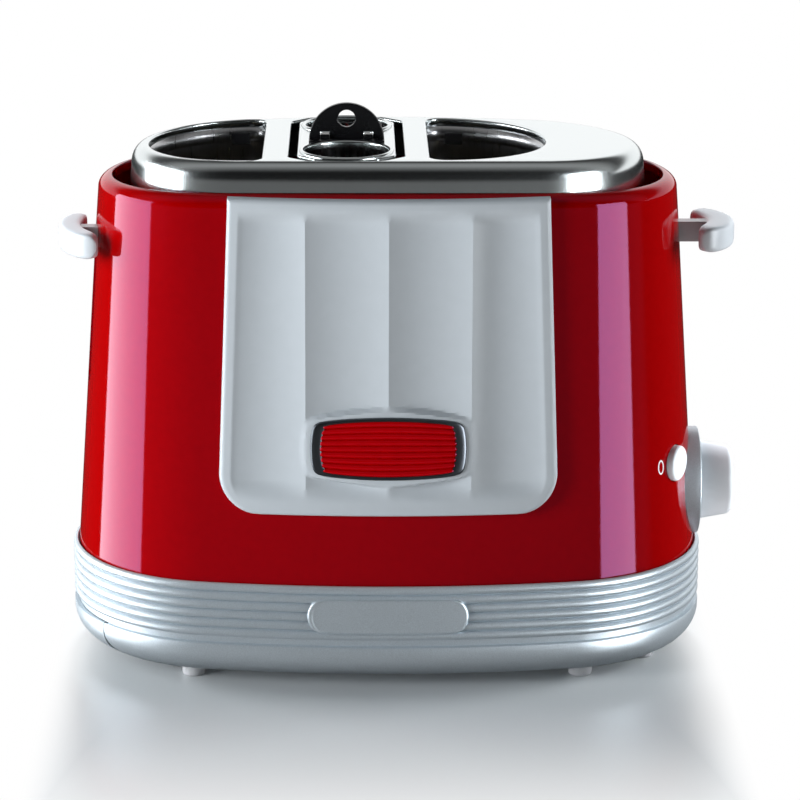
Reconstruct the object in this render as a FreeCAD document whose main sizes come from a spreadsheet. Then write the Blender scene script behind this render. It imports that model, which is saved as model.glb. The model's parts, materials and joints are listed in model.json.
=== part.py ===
import FreeCAD, Part
import math
import os
import re
import Sketcher
from FreeCAD import Placement, Rotation, Vector

# Hot dog toaster. Millimetres, +Z up, +X to the knob end, -Y to the front.
# The origin is on the table, under the middle of the whole object's box.

# Driving dimensions, in millimetres and degrees
DRIVING = {
    # red shell: an oval of two end arcs and two long arcs, drawn in with height
    "shell_half_width": 139.6,
    "shell_half_depth": 75.4,
    "shell_bow": 6.0,
    "shell_taper": 4.1,
    "shell_bottom_z": 46.0,
    "shell_height": 172.6,
    "shell_wall": 2.2,
    "rim_round": 6.0,
    "rim_width": 5.8,
    "rim_drop": 4.6,
    "crown_radius": 3200.0,
    # silver base ring
    "base_step": 2.5,
    "base_underside_z": 5.5,
    "base_wall": 5.0,
    "base_floor": 2.5,
    "base_band_height": 16.1,
    "base_curve": 13.0,
    "base_lip_height": 2.5,
    "base_lip_gap": 0.2,
    "rib_count": 6,
    "rib_pitch": 4.15,
    "rib_depth": 1.2,
    "rib_thickness": 2.7,
    "base_plate_inset": 29.5,
    "base_plate_thickness": 1.5,
    "base_hole_inset": 34.0,
    # feet and screws
    "foot_top_radius": 5.75,
    "foot_bottom_radius": 5.25,
    "foot_inset_x": 56.4,
    "foot_inset_y": 26.9,
    "end_foot_inset_x": 27.6,
    "end_foot_inset_y": 49.9,
    "screw_inset_x": 43.7,
    "screw_inset_y": 49.5,
    "screw_radius": 1.6,
    "screw_head_radius": 3.2,
    "screw_head_height": 1.6,
    "screw_gap": 0.1,
    # lid
    "lid_end_gap": 7.9,
    "lid_gap": 0.8,
    "lid_bow": 3.4,
    "lid_rise": 12.8,
    "lid_taper": 4.0,
    "lid_round": 2.5,
    "lid_wall": 2.0,
    "lid_top": 3.7,
    "flange_thickness": 1.4,
    "flange_inset": 0.5,
    # wells: two half-round bun slots and the sausage basket between them
    "well_y": 0.0,
    "slot_radius": 47.0,
    "slot_corner": 7.0,
    "slot_left_edge": -54.4,
    "slot_right_edge": 17.7,
    "slot_left_width": 50.6,
    "slot_right_width": 51.8,
    "chute_wall": 1.2,
    "chute_depth": 25.0,
    "basket_x": -18.0,
    "basket_y": 0.0,
    "mouth_half_width": 25.0,
    "mouth_half_depth": 49.0,
    "mouth_corner": 9.0,
    "basket_half_width": 21.25,
    "basket_half_depth": 46.0,
    "tube_rim": 0.6,
    "basket_corner": 8.0,
    "basket_plate_thickness": 1.8,
    "tube_radius": 18.2,
    "tube_wall": 0.7,
    "tube_spacing": 58.0,
    "tube_floor": 1.0,
    "tube_slot_width": 6.0,
    "tube_slot_margin": 8.0,
    "tube_slot_count": 6,
    # lifting handle of the basket
    "handle_width": 33.0,
    "handle_radius": 16.5,
    "handle_thickness": 3.0,
    "handle_hole_radius": 3.8,
    "handle_hole_rise": 8.2,
    "handle_base_height": 1.6,
    "handle_base_depth": 6.5,
    "handle_gap": 0.35,
    "hinge_y": -6.3,
    "hinge_rise": 2.0,
    "hinge_pin_radius": 0.8,
    "hinge_gap": 0.06,
    "lug_width": 3.6,
    "lug_x": 9.5,
    # heated chamber
    "chamber_radius": 52.0,
    "chamber_wall": 0.8,
    "chamber_top_z": 204.0,
    "chamber_notch_z": 22.0,
    "chamber_notch_half_width": 44.5,
    "neck_width": 10.0,
    "neck_gap": 1.5,
    "neck_offset": 8.0,
    "heater_thickness": 1.0,
    "heater_bottom_z": 62.0,
    "heater_height": 138.0,
    "heater_gap": 0.2,
    "heater_ribbon": 0.5,
    "ribbon_link_inset": 0.1,
    "ribbon_gap": 0.1,
    "ribbon_margin": 6.0,
    "ribbon_inset": 4.0,
    "heater_ribbon_height": 1.6,
    "heater_ribbon_count": 11,
    "heater_ribbon_pitch": 12.0,
    "guard_wire_radius": 0.8,
    "guard_wire_count": 8,
    "guard_gap": 0.4,
    "guard_drop": 9.2,
    "guard_first_angle": 118.0,
    "guard_spread": 144.0,
    "guard_stay_count": 4,
    "guard_hoop_half": 1.0,
    # carriage that carries the buns and the basket
    "carriage_z": 132.0,
    "carriage_travel": 62.0,
    "carriage_thickness": 1.5,
    "carriage_ring_gap": 2.0,
    "carriage_ring_width": 7.5,
    "rest_thickness": 1.0,
    "rest_radius": 44.0,
    "rest_half_depth": 40.0,
    "rest_edge": 2.0,
    "basket_rest_inset": 6.0,
    "basket_gap": 0.3,
    "rod_left_x": -50.0,
    "rod_right_x": 14.0,
    "rod_radius": 2.5,
    "rod_top_z": 152.0,
    "rod_gap": 0.06,
    "bush_radius": 4.0,
    "bush_height": 12.0,
    "spring_wall": 0.9,
    "spring_gap": 0.5,
    "spring_end_gap": 0.1,
    # levers
    "lever_z": 190.0,
    "lever_height": 11.6,
    "lever_round": 3.2,
    "lever_half_span": 20.8,
    "lever_right_depth": 16.9,
    "lever_right_gap": 6.2,
    "lever_hollow": 4.4,
    "lever_left_depth": 15.3,
    "lever_left_gap": 1.2,
    "lever_left_y": -11.0,
    "lever_left_half_span": 23.5,
    "stem_width": 6.5,
    "stem_height": 9.0,
    "stem_short": 8.0,
    "upright_thickness": 1.5,
    "upright_right_inset": 34.6,
    "upright_left_inset": 22.1,
    "upright_width": 12.0,
    "lever_slot_gap": 0.8,
    # latch
    "latch_length": 14.0,
    "latch_thickness": 1.2,
    "magnet_gap": 0.3,
    "magnet_back": 17.0,
    "magnet_width": 14.0,
    "magnet_coil_height": 18.0,
    "magnet_core": 6.0,
    # dial, knob and its shaft
    "dial_z": 74.3,
    "dial_radius": 24.2,
    "dial_proud": 3.0,
    "dial_skirt": 8.0,
    "knob_gap": 0.6,
    "knob_length": 14.8,
    "knob_root_radius": 17.7,
    "knob_tip_radius": 15.7,
    "knob_socket": 9.0,
    "shaft_radius": 3.0,
    "shaft_gap": 0.06,
    "shaft_hole_gap": 0.6,
    "timer_radius": 8.5,
    "timer_length": 10.0,
    "board_back": 22.6,
    "board_thickness": 1.6,
    "board_half_width": 20.0,
    "board_height": 46.0,
    "bracket_thickness": 2.0,
    "bracket_width": 24.0,
    # stop button on the front corner of the knob end
    "button_z": 92.0,
    "button_angle": 30.0,
    "button_radius": 7.9,
    "button_proud": 2.8,
    "button_depth": 5.0,
    "button_gap": 0.4,
    "button_travel": 2.0,
    "button_stem_radius": 3.0,
    "button_stem_length": 10.0,
    "switch_size": 10.0,
    "switch_depth": 7.0,
    "switch_gap": 0.3,
    "post_radius": 3.0,
    # crumb tray
    "tray_half_width": 42.0,
    "tray_front_half_width": 45.0,
    "tray_right_x": 80.0,
    "tray_wall": 1.0,
    "tray_height": 9.0,
    "tray_gap": 0.4,
    "rail_half_length": 60.0,
    "rail_thickness": 1.5,
    "rail_height": 6.0,
    # front panel, badge and label plate
    "panel_bottom_z": 80.5,
    "panel_top_z": 217.2,
    "panel_top_half_width": 68.6,
    "panel_bottom_half_width": 73.6,
    "panel_corner": 18.0,
    "panel_proud": 3.6,
    "flute_count": 4,
    "flute_pitch": 35.6,
    "flute_sag": 1.6,
    "badge_z": 110.8,
    "badge_half_width": 33.5,
    "badge_half_height": 13.75,
    "badge_side_bow": 2.2,
    "badge_top_bow": 2.0,
    "badge_frame_side": 3.0,
    "badge_frame_top": 1.3,
    "badge_proud": 2.0,
    "badge_recess": 0.8,
    "badge_seat": 2.0,
    "label_z": 35.8,
    "label_half_width": 35.0,
    "label_half_height": 7.8,
    "label_side_bow": 2.5,
    "label_top_bow": 0.4,
    "label_proud": 1.2,
    # mains inlet at the back
    "inlet_x": 60.0,
    "inlet_z": 14.0,
    "inlet_radius": 5.5,
    "inlet_bore": 3.4,
    "inlet_flange": 7.5,
    # black clips inside the bun slots
    "clip_width": 8.0,
    "clip_height": 5.0,
    "clip_depth": 1.6,
    "clip_drop": 3.0,
}

doc = FreeCAD.newDocument("hot_dog_toaster")
sizes = doc.addObject("Spreadsheet::Sheet", "Sizes")
for row, (alias, value) in enumerate(DRIVING.items(), start=1):
    sizes.set(f"A{row}", alias)
    sizes.set(f"B{row}", str(value))
    sizes.setAlias(f"B{row}", alias)
places = doc.addObject("App::VarSet", "Places")
trial = doc.addObject("App::VarSet", "Trial")
trial.addProperty("App::PropertyFloat", "outcome")
doc.recompute()

derived = set()


def expand(formula):
    """Put the sheet's or the derived values' name before each word that they hold."""
    def prefix(match):
        word = match.group(0)
        if word in DRIVING:
            return "Sizes." + word
        if word in derived:
            return "Places." + word
        return word
    return re.sub(r"[a-z][a-z_0-9]*", prefix, str(formula))


def derive(name, formula):
    """Name a value that follows from the driving dimensions."""
    places.addProperty("App::PropertyFloat", name)
    places.setExpression(name, expand(formula))
    derived.add(name)


def number(formula):
    """The present value of a formula, for a sketch's first drawing."""
    trial.setExpression("outcome", expand(formula))
    trial.recompute()
    return trial.outcome


def bind(item, **formulas):
    """Tie properties of one object to formulas."""
    for name, formula in formulas.items():
        item.setExpression(name, expand(formula))


def bind_place(item, x, y, z):
    """Tie an object's place, with x counted from the shell's middle."""
    item.setExpression("Placement.Base.x", expand(f"{x} + shell_x"))
    item.setExpression("Placement.Base.y", expand(y))
    item.setExpression("Placement.Base.z", expand(z))


# Heights and reaches that several pieces share
derive("shell_top_z", "shell_bottom_z + shell_height")
derive("taper_slope", "tan(shell_taper)")
derive("rim_inset", "shell_height * taper_slope")
derive("shell_end_radius", "shell_half_depth - shell_bow")
derive("end_x", "shell_half_width - shell_end_radius")
derive("base_half_width", "shell_half_width + base_step")
derive("base_half_depth", "shell_half_depth + base_step")
derive("base_end_radius", "shell_end_radius + base_step")
derive("lid_half_width", "shell_half_width - rim_inset - rim_width - lid_end_gap")
derive("lid_half_depth", "shell_half_depth - rim_inset - rim_width - lid_gap")
derive("lid_end_radius", "lid_half_depth - lid_bow")
derive("foot_x", "base_half_width - foot_inset_x")
derive("foot_y", "base_half_depth - foot_inset_y")
derive("end_foot_x", "base_half_width - end_foot_inset_x")
derive("end_foot_y", "base_half_depth - end_foot_inset_y")
derive("screw_x", "base_half_width - screw_inset_x")
derive("screw_y", "base_half_depth - screw_inset_y")
derive("dial_face_x", "shell_half_width - (dial_z - shell_bottom_z) * taper_slope + dial_proud")
derive("board_x", "dial_face_x - board_back")
derive("upright_right_x", "shell_half_width - upright_right_inset")
derive("upright_left_x", "shell_half_width - upright_left_inset")
derive("magnet_x", "upright_right_x - magnet_back")
derive("lever_low_z", "lever_z - lever_height / 2 - carriage_travel")
derive("low_skin", "shell_end_radius - (lever_low_z - shell_bottom_z) * taper_slope")
derive("left_front_y", "lever_left_y - lever_left_half_span")
derive("left_back_y", "lever_left_y + lever_left_half_span")
derive("left_front_x", "end_x + sqrt(low_skin * low_skin - left_front_y * left_front_y) + lever_left_gap")
derive("left_back_x", "end_x + sqrt(low_skin * low_skin - left_back_y * left_back_y) + lever_left_gap")
derive("left_hollow", "end_x + low_skin + lever_left_gap - (left_front_x + left_back_x) / 2")
derive("right_tip", "end_x + sqrt(low_skin * low_skin - lever_half_span * lever_half_span) + lever_right_gap")
derive("lever_left_reach", "(left_front_x + left_back_x) / 2 + lever_left_depth")
derive("lever_right_reach", "right_tip + lever_right_depth")
derive("knob_reach", "dial_face_x + knob_gap + knob_length")
derive("shell_x", "(lever_left_reach - knob_reach) / 2")
derive("rim_under_z", "shell_top_z - rim_drop")
derive("base_floor_z", "base_underside_z + base_floor")
derive("band_top_z", "base_underside_z + base_band_height")
derive("base_top_z", "shell_bottom_z + base_lip_height")
derive("plate_top_z", "base_floor_z + base_plate_thickness")
derive("lid_bottom_z", "rim_under_z - flange_thickness")
derive("lid_top_z", "shell_top_z + lid_rise")
derive("lid_under_z", "lid_top_z - lid_top")
derive("chamber_left_x", "slot_left_edge - slot_left_width + slot_radius")
derive("chamber_right_x", "slot_right_edge + slot_right_width - slot_radius")
derive("basket_top_z", "lid_top_z")
derive("tube_top_z", "basket_top_z - basket_plate_thickness")
derive("carriage_top_z", "carriage_z + carriage_thickness")
derive("rest_top_z", "carriage_top_z + rest_thickness")
derive("tube_bottom_z", "rest_top_z + basket_gap")
derive("hinge_z", "basket_top_z + hinge_rise")
derive("beam_y", "well_y + chamber_radius + chamber_wall + carriage_ring_gap")
derive("rod_y", "beam_y + carriage_ring_width / 2")
derive("tray_bottom_z", "plate_top_z + tray_gap")
derive("panel_face", "shell_half_depth + panel_proud")
derive("button_skin", "shell_end_radius - (button_z - shell_bottom_z) * taper_slope")
derive("long_radius", "((shell_half_width - shell_end_radius) * (shell_half_width - shell_end_radius)"
       " + shell_half_depth * shell_half_depth - shell_end_radius * shell_end_radius)"
       " / (2 * (shell_half_depth - shell_end_radius))")
derive("inlet_sag", "inlet_x * inlet_x / (2 * long_radius)")
derive("heater_left_x", "(slot_left_edge + basket_x - mouth_half_width) / 2")
derive("heater_right_x", "(slot_right_edge + basket_x + mouth_half_width) / 2")
derive("curve_radius", "chamber_radius - heater_gap")
derive("arc_half", "0.8 * chamber_radius")
derive("ribbon_low_z", "heater_bottom_z + ribbon_margin")
derive("ribbon_span", "(heater_ribbon_count - 1) * heater_ribbon_pitch")
derive("ribbon_radius", "curve_radius - heater_thickness - ribbon_gap")
derive("guard_radius", "slot_radius + guard_gap + guard_wire_radius")
derive("guard_low_z", "carriage_z - carriage_travel - guard_drop")
derive("ring_in", "chamber_radius + chamber_wall + carriage_ring_gap")
derive("ring_out", "ring_in + carriage_ring_width")
derive("magnet_top_z", "carriage_z - carriage_travel - latch_thickness - magnet_gap")
derive("coil_low_z", "magnet_top_z - 2 - magnet_coil_height")
derive("timer_x", "board_x + board_thickness")
derive("shaft_root_x", "timer_x + timer_length / 3")
derive("switch_start", "button_depth + button_stem_length + button_travel + switch_gap + switch_depth")
derive("post_reach", "button_skin - switch_start + switch_depth / 2")
doc.recompute()


def box(name, x, y, z, length, width, height):
    """A block, from its low corner."""
    item = doc.addObject("Part::Box", name)
    bind(item, Length=length, Width=width, Height=height)
    bind_place(item, x, y, z)
    return item


AXES = {"x": Vector(1, 0, 0), "y": Vector(0, 1, 0), "z": Vector(0, 0, 1)}


def cylinder(name, x, y, z, radius, height, axis="z"):
    """A round bar from the middle of its low end along an axis."""
    item = doc.addObject("Part::Cylinder", name)
    item.Placement = Placement(Vector(), Rotation(AXES["z"], AXES[axis]))
    bind(item, Radius=radius, Height=height)
    bind_place(item, x, y, z)
    return item


def cone(name, x, y, z, low_radius, high_radius, height, axis="z"):
    """A round taper from the middle of its low end along an axis."""
    item = doc.addObject("Part::Cone", name)
    item.Placement = Placement(Vector(), Rotation(AXES["z"], AXES[axis]))
    bind(item, Radius1=low_radius, Radius2=high_radius, Height=height)
    bind_place(item, x, y, z)
    return item


def fuse(name, *pieces):
    """One solid from pieces that overlap or share a face."""
    item = doc.addObject("Part::MultiFuse", name)
    item.Shapes = list(pieces)
    item.Refine = True
    return item


def cut(name, base, *tools):
    """What is left of the base outside the tools."""
    item = doc.addObject("Part::Cut", name)
    item.Base = base
    item.Tool = tools[0] if len(tools) == 1 else fuse(name + "_tools", *tools)
    return item


def common(name, base, tool):
    """What two pieces share."""
    item = doc.addObject("Part::Common", name)
    item.Base = base
    item.Tool = tool
    return item


def group(name, *pieces):
    """Separate like pieces kept under one name."""
    item = doc.addObject("Part::Compound", name)
    item.Links = list(pieces)
    return item


nodes = []


def node(label, item):
    """Keep a finished sub-part under its own label."""
    item.Label = label
    nodes.append(item)
    return item


def new_body(name):
    body = doc.addObject("PartDesign::Body", name)
    bind_place(body, 0, 0, 0)
    return body


def new_sketch(body, name, plane, offset):
    """A sketch on one of the body's own planes, moved along its normal."""
    sketch = body.newObject("Sketcher::SketchObject", name)
    origin = [part for part in body.Origin.OriginFeatures if part.Role == plane][0]
    sketch.AttachmentSupport = [(origin, "")]
    sketch.MapMode = "FlatFace"
    sketch.setExpression("AttachmentOffset.Base.z", expand(offset))
    return sketch


def constrain(sketch, kind, *where, size=None):
    """Add a constraint, tied to a formula where it has a size."""
    if size is None:
        sketch.addConstraint(Sketcher.Constraint(kind, *where))
        return
    index = sketch.addConstraint(Sketcher.Constraint(kind, *where, number(size)))
    sketch.setExpression(f"Constraints[{index}]", expand(size))


def circle_arc(centre_x, centre_y, radius, start, end):
    """An arc between two angles in degrees."""
    circle = Part.Circle(Vector(centre_x, centre_y, 0), Vector(0, 0, 1), radius)
    return Part.ArcOfCircle(circle, math.radians(start), math.radians(end))


def oval_sketch(body, name, z, half_width, half_depth, end_radius):
    """Two end arcs and two long arcs that run into each other smoothly."""
    sketch = new_sketch(body, name, "XY_Plane", z)
    centre = f"(({half_width}) - ({end_radius}))"
    long_radius = (f"({centre} * {centre} + ({half_depth}) * ({half_depth}) - ({end_radius}) * ({end_radius}))"
                   f" / (2 * (({half_depth}) - ({end_radius})))")
    far = number(centre)
    small = number(end_radius)
    large = number(long_radius)
    depth = number(half_depth)
    turn = number(f"atan2({large - depth}, {far})")
    sketch.addGeometry([
        circle_arc(far, 0, small, -turn, turn),
        circle_arc(0, depth - large, large, turn, 180 - turn),
        circle_arc(-far, 0, small, 180 - turn, 180 + turn),
        circle_arc(0, large - depth, large, 180 + turn, 360 - turn),
    ])
    for first in range(4):
        constrain(sketch, "Tangent", first, 2, (first + 1) % 4, 1)
    constrain(sketch, "DistanceX", -1, 1, 0, 3, size=centre)
    constrain(sketch, "DistanceX", 2, 3, -1, 1, size=centre)
    constrain(sketch, "PointOnObject", 0, 3, -1)
    constrain(sketch, "PointOnObject", 2, 3, -1)
    constrain(sketch, "Radius", 0, size=end_radius)
    constrain(sketch, "Radius", 2, size=end_radius)
    constrain(sketch, "Radius", 1, size=long_radius)
    constrain(sketch, "Radius", 3, size=long_radius)
    return sketch


def pad(body, sketch, height, taper=None, name="Pad"):
    """Raise a sketch, drawn in by the taper angle where one is given."""
    item = body.newObject("PartDesign::Pad", f"{body.Name}_{name}")
    item.Profile = sketch
    bind(item, Length=height)
    if taper is not None:
        bind(item, TaperAngle=f"0 - {taper}")
    return item


def fillet(body, base, radius, keep, name="Fillet"):
    """Round the edges of the base that pass a test."""
    doc.recompute()
    names = [f"Edge{i}" for i, edge in enumerate(base.Shape.Edges, start=1) if keep(edge)]
    item = body.newObject("PartDesign::Fillet", f"{body.Name}_{name}")
    item.Base = (base, names)
    bind(item, Radius=radius)
    return item


def at_height(z):
    """A test for edges that lie level at one height."""
    return lambda edge: abs(edge.BoundBox.ZMin - z) < 0.01 and abs(edge.BoundBox.ZMax - z) < 0.01


def upright(edge):
    """A test for straight vertical edges."""
    box_ = edge.BoundBox
    return box_.XLength < 0.01 and box_.YLength < 0.01 and box_.ZLength > 0.5


def oval(name, z, height, inset, family, taper=None, round_top=None, round_bottom=None):
    """An oval block of one of the families of outlines, drawn in by an inset."""
    body = new_body(name)
    shape = [f"{family}_half_width - ({inset})", f"{family}_half_depth - ({inset})",
             f"{family}_end_radius - ({inset})"]
    sketch = oval_sketch(body, name + "_outline", z, *shape)
    last = pad(body, sketch, height, taper)
    if round_top is not None:
        last = fillet(body, last, round_top, at_height(number(f"({z}) + ({height})")), "Top")
    if round_bottom is not None:
        last = fillet(body, last, round_bottom, at_height(number(z)), "Bottom")
    return body


def bulged_arc(start, stop, bulge):
    """An arc between two points that stands out by the bulge, to the right of the way from start to stop."""
    chord = stop - start
    across = Vector(chord.y, -chord.x, 0).normalize()
    radius = (chord.Length ** 2 / 4 + bulge ** 2) / (2 * abs(bulge))
    centre = (start + stop) * 0.5 + across * (bulge - math.copysign(radius, bulge))
    first, last = (start, stop) if bulge > 0 else (stop, start)
    angles = [math.atan2(spot.y - centre.y, spot.x - centre.x) for spot in (first, last)]
    return Part.ArcOfCircle(Part.Circle(centre, Vector(0, 0, 1), radius), *angles)


def outline(body, name, plane, offset, points, bulges):
    """A closed outline through points; a side with a bulge is an arc that stands out to its right."""
    sketch = new_sketch(body, name, plane, offset)
    count = len(points)
    spots = [Vector(number(x), number(y), 0) for x, y in points]
    ends = []
    for i in range(count):
        start, stop = spots[i], spots[(i + 1) % count]
        if bulges[i] is None:
            index = sketch.addGeometry(Part.LineSegment(start, stop))
            ends.append((index, 1, 2))
            continue
        index = sketch.addGeometry(bulged_arc(start, stop, number(bulges[i])))
        ends.append((index, 1, 2) if number(bulges[i]) > 0 else (index, 2, 1))
    for i in range(count):
        index, start, stop = ends[i]
        following, next_start, _ = ends[(i + 1) % count]
        constrain(sketch, "Coincident", index, stop, following, next_start)
        for kind, axis, formula in (("DistanceX", -2, points[i][0]), ("DistanceY", -1, points[i][1])):
            value = number(formula)
            if abs(value) < 1e-9:
                constrain(sketch, "PointOnObject", index, start, axis)
            elif value > 0:
                constrain(sketch, kind, -1, 1, index, start, size=formula)
            else:
                constrain(sketch, kind, index, start, -1, 1, size=f"0 - ({formula})")
        if bulges[i] is not None:
            across = f"(({points[(i + 1) % count][0]}) - ({points[i][0]}))"
            up = f"(({points[(i + 1) % count][1]}) - ({points[i][1]}))"
            bulge = f"({bulges[i]})"
            constrain(sketch, "Radius", index,
                      size=f"abs(({across} * {across} + {up} * {up}) / (8 * {bulge}) + {bulge} / 2)")
    return sketch


def dee(name, side, z, height, inset):
    """A block of a bun slot's half-round outline; side is -1 at the left and 1 at the right."""
    word = "left" if side < 0 else "right"
    edge = f"(slot_{word}_edge + {side} * ({inset}))"
    width = f"(slot_{word}_width - 2 * ({inset}))"
    radius = f"(slot_radius - ({inset}))"
    half = f"sqrt({radius} * {radius} - ({width} - {radius}) * ({width} - {radius}))"
    low, high = (edge, f"well_y - {half}"), (edge, f"well_y + {half}")
    points = [low, high] if side < 0 else [high, low]
    body = new_body(name)
    sketch = outline(body, name + "_outline", "XY_Plane", z, points, [None, width])
    last = pad(body, sketch, height)
    fillet(body, last, f"slot_corner - ({inset})", upright, "Corner")
    return body


def octagon(name, z, height, half_width, half_depth, corner):
    """A block with four cut corners, standing at the basket's place."""
    body = new_body(name)
    x_far, x_near = f"({half_width})", f"({half_width} - ({corner}))"
    y_far, y_near = f"({half_depth})", f"({half_depth} - ({corner}))"
    quarter = [(x_far, y_near), (x_near, y_far)]
    points = [(f"basket_x + {x}", f"basket_y + {y}") for x, y in quarter]
    points += [(f"basket_x - {x}", f"basket_y + {y}") for x, y in reversed(quarter)]
    points += [(f"basket_x - {x}", f"basket_y - {y}") for x, y in quarter]
    points += [(f"basket_x + {x}", f"basket_y - {y}") for x, y in reversed(quarter)]
    sketch = outline(body, name + "_outline", "XY_Plane", z, points, [None] * len(points))
    pad(body, sketch, height)
    return body


def bowed_block(name, half_width, half_height, side_bow, top_bow, start, depth, z, tilt=True):
    """A barrel-shaped block that faces the front; start is how far it begins before its plane."""
    body = new_body(name)
    if tilt:
        body.Placement = Placement(Vector(), Rotation(Vector(1, 0, 0), -number("shell_taper")))
        bind_place(body, 0, f"0 - (panel_face - ({z} - shell_bottom_z) * taper_slope)", z)
    else:
        bind_place(body, 0, 0, z)
    x, y = f"({half_width} - ({side_bow}))", f"({half_height} - ({top_bow}))"
    points = [(f"0 - {x}", f"0 - {y}"), (x, f"0 - {y}"), (x, y), (f"0 - {x}", y)]
    bulges = [top_bow, side_bow, top_bow, side_bow]
    sketch = outline(body, name + "_outline", "XZ_Plane", start, points, bulges)
    pad(body, sketch, depth)
    return body


# Red shell
shell_solid = oval("shell_solid", "shell_bottom_z", "shell_height", "0", "shell", "shell_taper",
                   "rim_round")
shell_space = oval("shell_space", "shell_bottom_z", "shell_height - rim_drop", "shell_wall", "shell",
                   "shell_taper")
rim_hole = oval("rim_hole", "rim_under_z", "rim_drop + 1", "rim_inset + rim_width", "shell")
crown = cylinder("crown", 0, "0 - base_half_depth", "shell_top_z - crown_radius", "crown_radius",
                 "2 * base_half_depth", "y")
stem_half = "(stem_width / 2 + lever_slot_gap)"
slot_height = "(carriage_travel + stem_height + 2 * lever_slot_gap)"
slot_low = "(lever_z - stem_height / 2 - carriage_travel - lever_slot_gap)"
slot_left = box("slot_left", "0 - base_half_width", f"lever_left_y - {stem_half}", slot_low,
                "base_half_width - upright_left_x", f"2 * {stem_half}", slot_height)
slot_right = box("slot_right", "upright_right_x", f"0 - {stem_half}", slot_low,
                 "base_half_width - upright_right_x", f"2 * {stem_half}", slot_height)
shaft_hole = cylinder("shaft_hole", "board_x + timer_length", 0, "dial_z", "shaft_radius + shaft_hole_gap",
                      "base_half_width - board_x", "x")

# The stop button stands square to the shell's end, turned from +X towards the front


def radial_bar(name, start, length, radius):
    """A round bar along the stop button's axis; start is counted outwards from the shell's skin."""
    item = doc.addObject("Part::Cylinder", name)
    turn = Rotation(Vector(0, 0, 1), -number("button_angle"))
    item.Placement = Placement(Vector(), turn.multiply(Rotation(AXES["z"], AXES["x"])))
    bind(item, Radius=radius, Height=length)
    bind_place(item, f"end_x + (button_skin + {start}) * cos(button_angle)",
               f"0 - (button_skin + {start}) * sin(button_angle)", "button_z")
    return item


button_hole = radial_bar("button_hole", "0 - 2 * button_depth", "4 * button_depth",
                         "button_radius + button_gap")
shell_outside = common("shell_outside", shell_solid, crown)
node("outer_shell", cut("shell_cut", shell_outside, shell_space, rim_hole, slot_left, slot_right,
                        shaft_hole,
                        button_hole))

# White front panel with upright flutes, following the shell's bow and lean


def flute_section(body, name, z):
    """The panel's plan at one height: hollow arcs between ridges at the front, straight behind."""
    face = f"(panel_face - ({z} - shell_bottom_z) * taper_slope)"
    ridges = []
    for i in range(DRIVING["flute_count"] + 1):
        step = f"({i} - flute_count / 2)"
        edge = abs(i - DRIVING["flute_count"] / 2) == DRIVING["flute_count"] / 2
        reach = f"({step} * flute_pitch)"
        if edge:
            reach = f"({step} * 2 / flute_count * (panel_bottom_half_width + 1))"
        ridges.append((reach, f"{reach} * {reach} / (2 * long_radius) - {face}"))
    back = f"4 * panel_proud - {face} + panel_bottom_half_width * panel_bottom_half_width / (2 * long_radius)"
    points = ridges + [(ridges[-1][0], back), (ridges[0][0], back)]
    bulges = ["0 - flute_sag"] * DRIVING["flute_count"] + [None, None, None]
    return outline(body, name, "XY_Plane", z, points, bulges)


panel_bar = new_body("panel_bar")
low_section = flute_section(panel_bar, "panel_low", "panel_bottom_z")
high_section = flute_section(panel_bar, "panel_high", "panel_top_z")
panel_loft = panel_bar.newObject("PartDesign::AdditiveLoft", "panel_loft")
panel_loft.Profile = low_section
panel_loft.Sections = [high_section]
panel_loft.Ruled = True
panel_face_body = new_body("panel_outline")
panel_sketch = outline(panel_face_body, "panel_outline_sketch", "XZ_Plane", "shell_half_depth / 2",
                       [("0 - panel_bottom_half_width", "panel_bottom_z"), ("panel_bottom_half_width",
                                                                            "panel_bottom_z"),
                        ("panel_top_half_width", "panel_top_z"), ("0 - panel_top_half_width",
                                                                  "panel_top_z")],
                       [None] * 4)
panel_pad = pad(panel_face_body, panel_sketch, "shell_half_depth")
low_corner = number("panel_bottom_z")
fillet(panel_face_body, panel_pad, "panel_corner",
       lambda edge: edge.BoundBox.YLength > 1 and abs(edge.BoundBox.ZMax - low_corner) < 0.01
       and edge.BoundBox.XLength < 0.01, "Corner")
badge_block = bowed_block("badge_block", "badge_half_width", "badge_half_height", "badge_side_bow",
                          "badge_top_bow",
                          "0 - badge_seat", "badge_seat + badge_proud", "badge_z")
panel_plate = cut("panel_plate", common("panel_blank", panel_bar, panel_face_body), shell_solid)
node("front_panel", cut("panel_cut", panel_plate, badge_block))

# Blank badge: a bright frame round a ribbed red insert
badge_window = bowed_block("badge_window", "badge_half_width - badge_frame_side",
                           "badge_half_height - badge_frame_top", "badge_side_bow", "badge_top_bow",
                           "0 - badge_seat / 2", "badge_seat + 2 * badge_proud", "badge_z")
node("badge_frame", cut("badge_frame_cut", badge_block, badge_window))
node("badge_insert", bowed_block("badge_fill", "badge_half_width - badge_frame_side",
                                 "badge_half_height - badge_frame_top", "badge_side_bow", "badge_top_bow",
                                 "0 - badge_seat / 2", "badge_seat / 2 + badge_proud - badge_recess",
                                 "badge_z"))

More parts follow.
